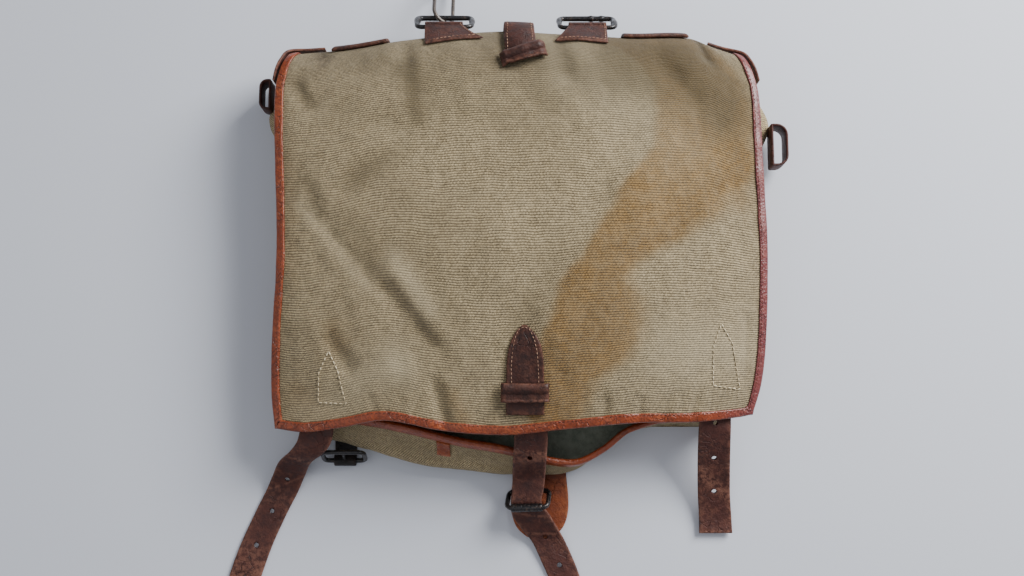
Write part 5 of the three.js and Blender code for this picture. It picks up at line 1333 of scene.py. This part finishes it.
def rounded_frame(centre, across, deep, width, depth, corner=FRAME_CORNER, wire=WIRE):
    """Points round a rounded rectangle on two axes, its four corners quarter circles."""
    w, d = (width - wire) / 2 - corner, (depth - wire) / 2 - corner
    turn = np.linspace(0, np.pi / 2, 9)
    rounds = []
    for k, sides in enumerate([(1, 1), (-1, 1), (-1, -1), (1, -1)]):
        facing = turn + k * np.pi / 2
        round_corner = corner * np.stack([np.cos(facing), np.sin(facing)], -1)
        rounds.append(np.array(sides) * (w, d) + round_corner)
    plan = even_loop(np.vstack(rounds), ROD_STEPS)
    return centre + plan[:, :1] * across + plan[:, 1:] * deep


def rod_loop(name, node, points, wire, material, slot, seed, lumps=()):
    """A rod round a closed line; its thickness swells and thins a little, as forged rod does.
    Each lump is (share round the line, extra thickness, width as a share)."""
    flat = unit(np.cross(points[30] - points[0], points[60] - points[0]))
    out, up = frames_along(points, flat, closed=True)
    swell = 1 + 0.05 * waves(np.arange(len(points)) * 1.0, np.zeros(len(points)), seed, 24)
    s = np.arange(len(points)) / len(points)
    for place, extra, width in lumps:
        away = np.abs((s - place + 0.5) % 1.0 - 0.5) / width
        swell = swell + extra * np.exp(-away * away)
    swell = swell[:, None]
    piece = carried(name, circle(wire / 2), points, out * swell, up * swell, closed=True)
    return dressed(piece, material, slot, node)


centre_hem = flap_surface(np.array(0.05), np.array(1.0))
CENTRE_HEEL = np.array([centre_hem[0] - 0.59, centre_hem[1] - 39.53, 7.5])
centre_across = unit(np.array([0.975, 0.03, 0.2]))
centre_deep = np.array([-0.16, -0.68, 0.72])
centre_deep = unit(centre_deep - centre_across * (centre_deep @ centre_across))
SPAN = BUCKLE_DEPTH - WIRE
centre_front = CENTRE_HEEL + centre_deep * SPAN
LEFT_HEEL = np.array([-0.726 * HALF_FLAP, -126.0 - 0.65 * 35.0, WIRE / 2 + TRIM_LEATHER + 0.8])
left_across, left_deep = np.array([1.0, 0.0, 0.0]), unit(np.array([0.0, 0.34, 0.94]))

for name, node, heel, across, deep, seed in (
    ("roller_buckle", "buckle_centre", CENTRE_HEEL, centre_across, centre_deep, 41),
    ("edge_buckle", "buckle_left", LEFT_HEEL, left_across, left_deep, 42),
):
    points = rounded_frame(heel + deep * SPAN / 2, across, deep, BUCKLE_WIDTH, BUCKLE_DEPTH)
    rod_loop(name, node, points, WIRE, black_metal, "black_metal", seed)


# %% Roller and pins
ROLLER_HALF, ROLLER_RADIUS, ROLLER_BORE = 10.5, 2.8, 1.92
PIN_LENGTH, PIN_RADIUS, PIN_TIP, PIN_OFF = 11.0, 1.1, 1.2, 1.9


def roller_piece():
    """A tube round the front bar: its outer radius dips in four fine rings."""
    s = np.linspace(-ROLLER_HALF, ROLLER_HALF, 60)
    rings = 0.22 * np.exp(-(((np.abs(s) % 5.2) - 2.6) / 0.5) ** 2)
    outer = ROLLER_RADIUS - rings - 0.35 * ramp(np.abs(s), ROLLER_HALF - 0.8, ROLLER_HALF)
    radius = np.concatenate([outer, np.full(60, ROLLER_BORE)])
    place = np.concatenate([s, s[::-1]])
    turn = 2 * np.pi * np.arange(28) / 28
    side = unit(np.cross(centre_across, [0, 0, 1.0]))
    third = np.cross(centre_across, side)
    around = np.cos(turn)[:, None] * side + np.sin(turn)[:, None] * third
    line = centre_front + place[:, None] * centre_across
    points = line[None] + radius[None, :, None] * around[:, None]
    index = np.arange(points.shape[0] * points.shape[1]).reshape(points.shape[:2])
    ring = np.pad(index, ((0, 1), (0, 1)), mode="wrap")
    piece = build("buckle_roller", points, grid_faces(ring))
    dressed(piece, black_metal, "black_metal", "roller_centre")


roller_piece()


def pin_piece(name, node, start, towards):
    """A pin with a rounded tip: a circle carried along, closing over its last millimetre."""
    turn = np.linspace(0.2, 1.5, 6)
    shaft, tip = PIN_LENGTH - PIN_TIP, PIN_LENGTH - PIN_TIP * (1 - np.sin(turn))
    s = np.concatenate([[0.0], np.linspace(0.3, shaft, 12), tip])
    size = np.concatenate([[0.7], np.ones(12), np.cos(turn)])[:, None]
    points = start + s[:, None] * towards
    up = np.array([1.0, 0, 0]) if abs(towards[2]) > 0.9 else np.array([0, 0, 1.0])
    out, top = frames_along(points, up)
    piece = carried(name, circle(PIN_RADIUS), points, out * size, top * size)
    dressed(piece, black_metal, "black_metal", node)


down_page = np.array([0, -1.0, 0])
pin_piece("roller_buckle_pin", "prong_centre", CENTRE_HEEL + PIN_OFF * down_page, down_page)
pin_piece("edge_buckle_pin", "prong_left", LEFT_HEEL + PIN_OFF * left_deep, left_deep)

# %% [markdown]
# ## Leather that holds the fittings
# A chape is a short strap folded round a bar and sewn to itself. Its line goes along the
# floor, round the bar in a half circle and back. The tongue is a wide rounded leaf that lies
# under the centre buckle.

# %% Chapes and tongue
TRIM_FLOOR, CHAPE_WIDTH, PACK_EDGE = TRIM_LEATHER / 2 + 0.1, 15.0, -127.2
TONGUE_WIDTH, TONGUE_LENGTH = 39.0, 74.0
BAR_TO_LEATHER = WIRE / 2 + 0.3 + TRIM_LEATHER / 2
UP, RIGHT, NORTH = np.array([0, 0, 1.0]), np.array([1.0, 0, 0]), np.array([0, 1.0, 0])


def round_bar(centre, first, outward, radius, steps=8):
    """A half circle about a bar, from the first side to the far one."""
    turn = np.pi * np.arange(steps + 1)[:, None] / steps
    return centre + first * radius * np.cos(turn) + outward * radius * np.sin(turn)


def floor_chape(name, node, heel, across, floor, start, back_to, material, slot):
    """Along the floor from start to the heel bar, half round it and back over itself."""
    reach, back = heel[1] - start, heel[1] - back_to
    low = [np.array([heel[0], start + s * reach, floor]) for s in (0, 0.35, 0.7)]
    high = floor + TRIM_LEATHER + 0.6
    top = [
        np.array([heel[0], heel[1] - 0.3 * back, max(high, heel[2] + BAR_TO_LEATHER * 0.6)]),
        np.array([heel[0], heel[1] - 0.8 * back, high]),
    ]
    rows = [(p, RIGHT, CHAPE_WIDTH) for p in low]
    rows += [(p, across, CHAPE_WIDTH) for p in round_bar(heel, -UP, -NORTH, BAR_TO_LEATHER)]
    rows += [(top[0], across, CHAPE_WIDTH), (top[1], RIGHT, CHAPE_WIDTH)]
    length = abs(reach) * 1.8 + 12
    piece = sheet(name, ribbon(rows), CHAPE_WIDTH, length, TRIM_LEATHER, 16, 70)
    return dressed(piece, material, slot, node)


floor_chape(
    "tongue_chape", "chape_centre", CENTRE_HEEL, centre_across, TRIM_FLOOR + 2.1, -160.2, -160.2,
    tongue_leather, "tongue_leather",
)
# The edge chape is near black, as painted shade.
floor_chape(
    "edge_chape", "chape_left", LEFT_HEEL, left_across, TRIM_FLOOR, PACK_EDGE, -142.4,
    shade_dark_leather, "strap_leather",
)


def tongue_surface(i, j):
    """A leaf flat on the floor, its rim very slightly cupped upwards."""
    off = (2 * i - 1) * curve(LEAF, 1, j) * TONGUE_WIDTH
    x = CENTRE_HEEL[0] + TONGUE_WIDTH * 0.18 + off
    y = PACK_EDGE - j * TONGUE_LENGTH
    lift = 0.9 * np.abs(2 * i - 1) ** 4 * ramp(j, 0.45, 0.8) + 1.3 * ramp(j, 0.85, 1.0)
    return np.stack([x, y, TRIM_FLOOR + lift], -1)


tongue = sheet(
    "rounded_tongue", tongue_surface, TONGUE_WIDTH, TONGUE_LENGTH, TRIM_LEATHER, 30, 70
)
dressed(tongue, tongue_leather, "tongue_leather", "tongue_centre")

# %% [markdown]
# ## The top fold
# Two black loops hang over the fold, each held by a leather chape, and a wire ring hangs on
# the left one. A short strap comes over the middle under a folded keeper, and dark patches
# show along the fold.

# %% Top loops, chapes and ring
top_deep = unit(np.array([0, 0.64, -0.77]))
LOOPS = {"left": -54.0 / HALF_FLAP, "right": 50.0 / HALF_FLAP}
LUMPS = {
    "left": [(0.42, 0.5, 0.05), (0.96, 0.3, 0.03), (0.2, 0.22, 0.2)],
    "right": [
        (0.94, 0.5, 0.045), (0.42, 0.3, 0.03), (0.2, 0.2, 0.2),
        (0.1, 0.25, 0.012), (0.17, 0.25, 0.012),
    ],
}
LOOP_WIDTH, LOOP_DEPTH, TOP_CHAPE, SEAT = 41.0, 21.0, 26.0, 0.5
RING_WIRE, RING_WIDTH, RING_LENGTH, RING_ROLL = 2.8, 16.0, 40.0, 0.68


def fold_over(across, width):
    """How far up the page the fold reaches along a width."""
    shares = across + np.array([-0.5, 0, 0.5]) * width / HALF_FLAP
    return BACK_TOP + FOLD_REACH * float(np.max(curve(FOLD_LINE, 1, shares)))


def top_bar(across):
    """The middle of a top loop's inner bar."""
    fold = flap_surface(np.array(across), np.array(0.16))
    off = CLOTH / 2 + SEAT + TRIM_LEATHER + 0.6 + WIRE / 2
    return np.array([fold[0], fold_over(across, TOP_CHAPE) + off, fold[2] + WIRE / 2])


def top_chape_surface(across, wide, side):
    """Lines from two rows on the flap, over the fold, half round the bar and down behind;
    the landing rows are wider and set aside."""
    centre = top_bar(across)
    loop = round_bar(centre, UP, NORTH, BAR_TO_LEATHER)
    behind = np.array([0, -BAR_TO_LEATHER * 0.96, -BAR_TO_LEATHER])
    tail = [centre + behind - UP * s * 14.0 for s in (0.3, 0.8)]
    lift = CLOTH / 2 + 0.55 + TRIM_LEATHER / 2

    def surface(i, j):
        shape = np.broadcast(i, j).shape
        every = np.round(np.broadcast_to(i, shape).ravel(), 6)
        shares, back = np.unique(every, return_inverse=True)
        narrow = (shares - 0.5) * TOP_CHAPE
        landing = narrow * wide + side * TOP_CHAPE
        rows = []
        for off, down in ((landing, 10.0), ((landing + narrow) / 2, 5.0)):
            x = centre[0] + off
            y = BACK_TOP + FOLD_REACH * curve(FOLD_LINE, 1, x / HALF_FLAP) - down
            rows.append(on_flap(x, y, np.full_like(x, lift)))
        rows += [p + narrow[:, None] * RIGHT for p in [*loop, *tail]]
        made = spline(np.stack(rows), np.broadcast_to(j, shape).ravel(), back.ravel())
        return made.reshape(*shape, 3)

    return surface


for side_name, wide, aside in (("left", 1.5, 0.3), ("right", 1.4, -0.2)):
    across = LOOPS[side_name]
    centre = top_bar(across) + top_deep * (LOOP_DEPTH - WIRE) / 2
    points = rounded_frame(centre, RIGHT, top_deep, LOOP_WIDTH, LOOP_DEPTH)
    name, node, seed = f"fold_loop_{side_name}", f"top_loop_{side_name}", 43 + len(side_name)
    rod_loop(name, node, points, WIRE, black_metal, "black_metal", seed, LUMPS[side_name])
    surface = top_chape_surface(across, wide, aside)
    piece = sheet(f"fold_chape_{side_name}", surface, 38.0, 48.0, TRIM_LEATHER, 40, 64)
    dressed(piece, tab_leather, "tab_leather", f"top_chape_{side_name}")
    hem = [[i, 0.035] for i in np.linspace(0.06, 0.94, 30)]
    hem += [[0.94, j] for j in np.linspace(0.04, 0.3, 16)]
    name, line = f"fold_chape_stitches_{side_name}", seam_on(surface, hem, 1.0)
    dressed(stitches(name, [line], 1.8, 0.8, 0.55), brown_thread, "tab_leather")


def ring_points():
    """An oval: two half circles joined by straight legs, rolled about its own length."""
    bar = top_bar(LOOPS["left"]) + top_deep * (LOOP_DEPTH - WIRE)
    drop = (bar[2] - RING_WIRE - RING_WIDTH * 0.3) / RING_LENGTH
    deep = np.array([0, math.sqrt(1 - drop * drop), -drop])
    across = RIGHT * math.cos(RING_ROLL) + np.cross(deep, RIGHT) * math.sin(RING_ROLL)
    centre = bar + deep * (RING_LENGTH / 2 - (WIRE / 2 + RING_WIRE / 2 + 0.6)) - RIGHT * 1.5
    turn, r = np.linspace(0, np.pi, 30), RING_WIDTH / 2
    leg = RING_LENGTH / 2 - r
    half = np.stack([r * np.cos(turn), leg + r * np.sin(turn)], -1)
    plan = even_loop(np.vstack([half, -half]), ROD_STEPS)
    return centre + plan[:, :1] * across + plan[:, 1:] * deep


rod_loop("oval_ring", "wire_ring", ring_points(), RING_WIRE, grey_wire, "grey_wire", 50)

# %% Top strap, its keeper and the patches
TOP_STRAP_ACROSS, TOP_STRAP_WIDTH, KEEPER_TURN = -1.5, 21.0, 0.27
TOP_STRAP_SKEW = 0.18 * TOP_STRAP_WIDTH
TOP_STRAP_END = BACK_TOP + FOLD_REACH - 24.0
TOP_KEEPER_LONG, TOP_KEEPER_HIGH, TOP_KEEPER_THICK, PATCH_THICK = 31.0, 10.5, 2.4, 2.6
strap_end = float(flap_shares(TOP_STRAP_ACROSS, TOP_STRAP_END)[1])


def top_strap_surface(i, j):
    """On the flap from over the fold down to the keeper, with an arch in its upper part."""
    at = 0.1 + (strap_end - 0.1) * j
    x = TOP_STRAP_ACROSS + TOP_STRAP_SKEW * j + (i - 0.5) * TOP_STRAP_WIDTH
    across = x / HALF_FLAP
    arch = 4.0 * np.sin(np.pi * np.minimum(j / 0.62, 1)) ** 2
    lift = CLOTH / 2 + 0.7 + STRAP_LEATHER / 2 + arch
    lift = lift + 0.8 * np.cos(np.pi * (i - 0.5)) * ramp(j, 0.3, 0.6)
    return flap_surface(across, at) + flap_normal(across, at) * lift[..., None]


top_strap = sheet("fold_strap", top_strap_surface, TOP_STRAP_WIDTH, 40.0, STRAP_LEATHER, 26, 60)
dressed(top_strap, tab_leather, "strap_leather", "top_strap")
lift = STRAP_LEATHER / 2 + 0.05
seams = [seam_on(top_strap_surface, [[i, 0.3], [i, 0.98]], lift, 80) for i in (0.12, 0.88)]
dressed(stitches("fold_strap_stitches", seams, 1.6, 0.9, 0.5), brown_thread, "strap_leather")

middle = np.array([TOP_STRAP_ACROSS + TOP_STRAP_SKEW, TOP_STRAP_END + 1.05])
half = np.array([math.sin(KEEPER_TURN), -math.cos(KEEPER_TURN)]) * TOP_KEEPER_HIGH / 2
spread = TOP_STRAP_WIDTH / math.cos(KEEPER_TURN)
band = band_lift(TOP_KEEPER_THICK, spread, STRAP_LEATHER + 0.8, 1.3)
top_keeper_surface = strip_on_flap(middle - half, middle + half, TOP_KEEPER_LONG, None, band)
top_keeper = sheet(
    "fold_keeper", top_keeper_surface, TOP_KEEPER_LONG, TOP_KEEPER_HIGH, TOP_KEEPER_THICK, 50, 24
)
dressed(top_keeper, tab_leather, "tab_leather", "top_keeper")


def patch_surface(start, end, from_at, to_at):
    """A patch over the fold between two places across, its side ends drawn in."""

    def surface(i, j):
        across = start + (end - start) * i
        at = to_at + (from_at - to_at) * j * (1 - 0.35 * (2 * i - 1) ** 6)
        lift = CLOTH / 2 + 0.6 + PATCH_THICK / 2
        return flap_surface(across, at) + flap_normal(across, at) * lift

    return surface


for side_name, start, end in (("left", -0.81, -0.57), ("right", 0.46, 0.75)):
    surface = patch_surface(start, end, 0.1, 0.21)
    piece = sheet(f"fold_patch_{side_name}", surface, 42.0, 26.0, PATCH_THICK, 50, 34)
    dressed(piece, tab_leather, "tab_leather", f"top_patch_{side_name}")

# %% [markdown]
# ## Side loops and corner strips
# A small leather D stands out at each side, and a strip runs round each top corner outside
# the binding. Each is a band of leather on edge, so its outline is a flat rectangle carried
# along a line in plan.


# %% Side loops, corner strips and the small tab
def band_outline(thickness, height):
    """A flat rectangle with rounded edges."""
    turn = np.linspace(-np.pi / 2, np.pi / 2, 6)
    r = thickness / 2
    right = np.stack([r * np.sin(turn), height / 2 - r + r * np.cos(turn)], -1)
    left = -right
    return np.vstack([right, left])


LOOP_HEIGHT, LOOP_MIDDLE, STRIP_WIDTH, SMALL_TAB = 15.0, 16.5, 12.0, 9.0


def side_loop(name, node, side, centre_y, length, reach):
    """A D in plan: its straight back beside the gusset, its far corners quarter circles."""
    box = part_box(node)
    base = min(abs(box[0][0]), abs(box[1][0])) / MM + TRIM_LEATHER / 2
    half, far = length / 2 - TRIM_LEATHER / 2, reach - TRIM_LEATHER / 2
    r = min(far, half) * 0.7
    turn = np.linspace(0, np.pi / 2, 10)
    low = np.stack([far - r + r * np.sin(turn), -half + r - r * np.cos(turn)], -1)
    high = np.stack([far - r + r * np.cos(turn), half - r + r * np.sin(turn)], -1)
    straight = np.array([[0, half], [0, half * 0.5], [0, 0], [0, -half * 0.5]])
    plan = even_loop(np.vstack([[[0, -half]], low, high, straight]), 90)
    x, y = side * (base + plan[:, 0]), centre_y + plan[:, 1]
    points = np.stack([x, y, np.full_like(x, LOOP_MIDDLE)], -1)
    out, up = frames_along(points, UP, closed=True)
    outline = band_outline(TRIM_LEATHER, LOOP_HEIGHT)
    piece = carried(name, outline, points, out, up, closed=True)
    return dressed(piece, strap_leather, "strap_leather", node)


side_loop("d_loop_right", "side_loop_right", 1, 67.0, 30.0, 11.0)
side_loop("d_loop_left", "side_loop_left", -1, 103.0, 22.0, 7.5)

# across, at, drop
CORNER_STRIP = np.array([
    [0.86, 0.15, 0.3], [0.93, 0.15, 0.28], [1, 0.17, 0.25], [1, 0.225, 0.25], [1, 0.27, 0.35],
    [1, 0.31, 0.5],
])


def corner_strip(name, node, side):
    """A ribbon outside the binding, turning from the fold's direction to the side's."""
    off = 3.3 + TRIM_LEATHER / 2
    rows = []
    for across, at, drop in CORNER_STRIP:
        edge = flap_surface(np.array(side * across), np.array(at)).copy()
        turn = 0.0 if across < 1 else min((at - 0.15) / 0.05, 1)
        edge[0] += side * off * math.sin(turn * np.pi / 2)
        edge[1] += off * math.cos(turn * np.pi / 2)
        edge[2] -= drop * STRIP_WIDTH
        rows.append((edge, UP, STRIP_WIDTH * (0.55 + 0.45 * turn)))
    piece = sheet(name, ribbon(rows), STRIP_WIDTH, 44.0, TRIM_LEATHER, 16, 60)
    return dressed(piece, strap_leather, "strap_leather", node)


corner_strip("corner_strip_l", "corner_strip_left", -1)
corner_strip("corner_strip_r", "corner_strip_right", 1)


def small_tab_surface(i, j):
    """A small square on the gusset's outer face, just under its binding."""
    share = 0.548 + (i - 0.5) * SMALL_TAB / 1042.0
    at = 1 - (5.4 + SMALL_TAB * j) / MOUTH_STEP
    across = gusset_surface(share + STEP, at) - gusset_surface(share - STEP, at)
    along = gusset_surface(share, at + STEP) - gusset_surface(share, at - STEP)
    normal = unit(np.cross(across, along))
    lift = -np.sign(normal[..., 1:2]) * (CLOTH / 2 + 0.4 + TRIM_LEATHER / 2)
    return gusset_surface(share, at) + normal * lift


small_tab = sheet("mouth_tab", small_tab_surface, SMALL_TAB, SMALL_TAB, TRIM_LEATHER, 16, 16)
dressed(small_tab, binding_leather, "binding_leather", "binding_tab")

# %% [markdown]
# ## Floor and light
# A plain pale floor and soft light from the upper right, as in the photo, where the shadows
# fall a short way to the lower left. A wide weak light from the other side keeps them open.


# %% Floor and lights
def plain_floor():
    """A flat square three metres each way from the pack."""
    mesh = bpy.data.meshes.new("floor")
    mesh.from_pydata([(-3, -3, 0), (3, -3, 0), (3, 3, 0), (-3, 3, 0)], [], [(0, 1, 2, 3)])
    floor = bpy.data.objects.new("floor", mesh)
    bpy.context.scene.collection.objects.link(floor)
    made, _, shader = new_material("floor")
    set_all(shader, Base_Color=paint(0.83, 0.845, 0.88), Roughness=0.9)
    mesh.materials.append(made)
    floor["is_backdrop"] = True


def soft_light(name, place, energy, size, colour):
    """A square lamp that faces the pack's middle."""
    lamp = bpy.data.lights.new(name, "AREA")
    lamp.energy, lamp.size, lamp.color = energy, size, colour
    held = bpy.data.objects.new(name, lamp)
    bpy.context.scene.collection.objects.link(held)
    held.location = place
    held.rotation_euler = (-Vector(place)).to_track_quat("-Z", "Y").to_euler()


plain_floor()
soft_light("window", (0.95, 0.75, 0.8), 40.0, 0.75, (1.0, 1.0, 1.0))
soft_light("room", (-0.9, -0.5, 1.7), 7.0, 2.0, (0.97, 0.97, 1.0))
world = bpy.data.worlds.new("room")
world.use_nodes = True
sky = world.node_tree.nodes["Background"].inputs
sky["Color"].default_value, sky["Strength"].default_value = (0.82, 0.84, 0.90, 1.0), 0.38
bpy.context.scene.world = world

# %% Sizes of the CAD model and of what is drawn
boxes = {"cad": [list(c) for c in cad_box], "visual": [list(c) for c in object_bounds()]}
for key, box in boxes.items():
    print(key, "box, mm:", [[round(v / MM, 1) for v in corner] for corner in box])
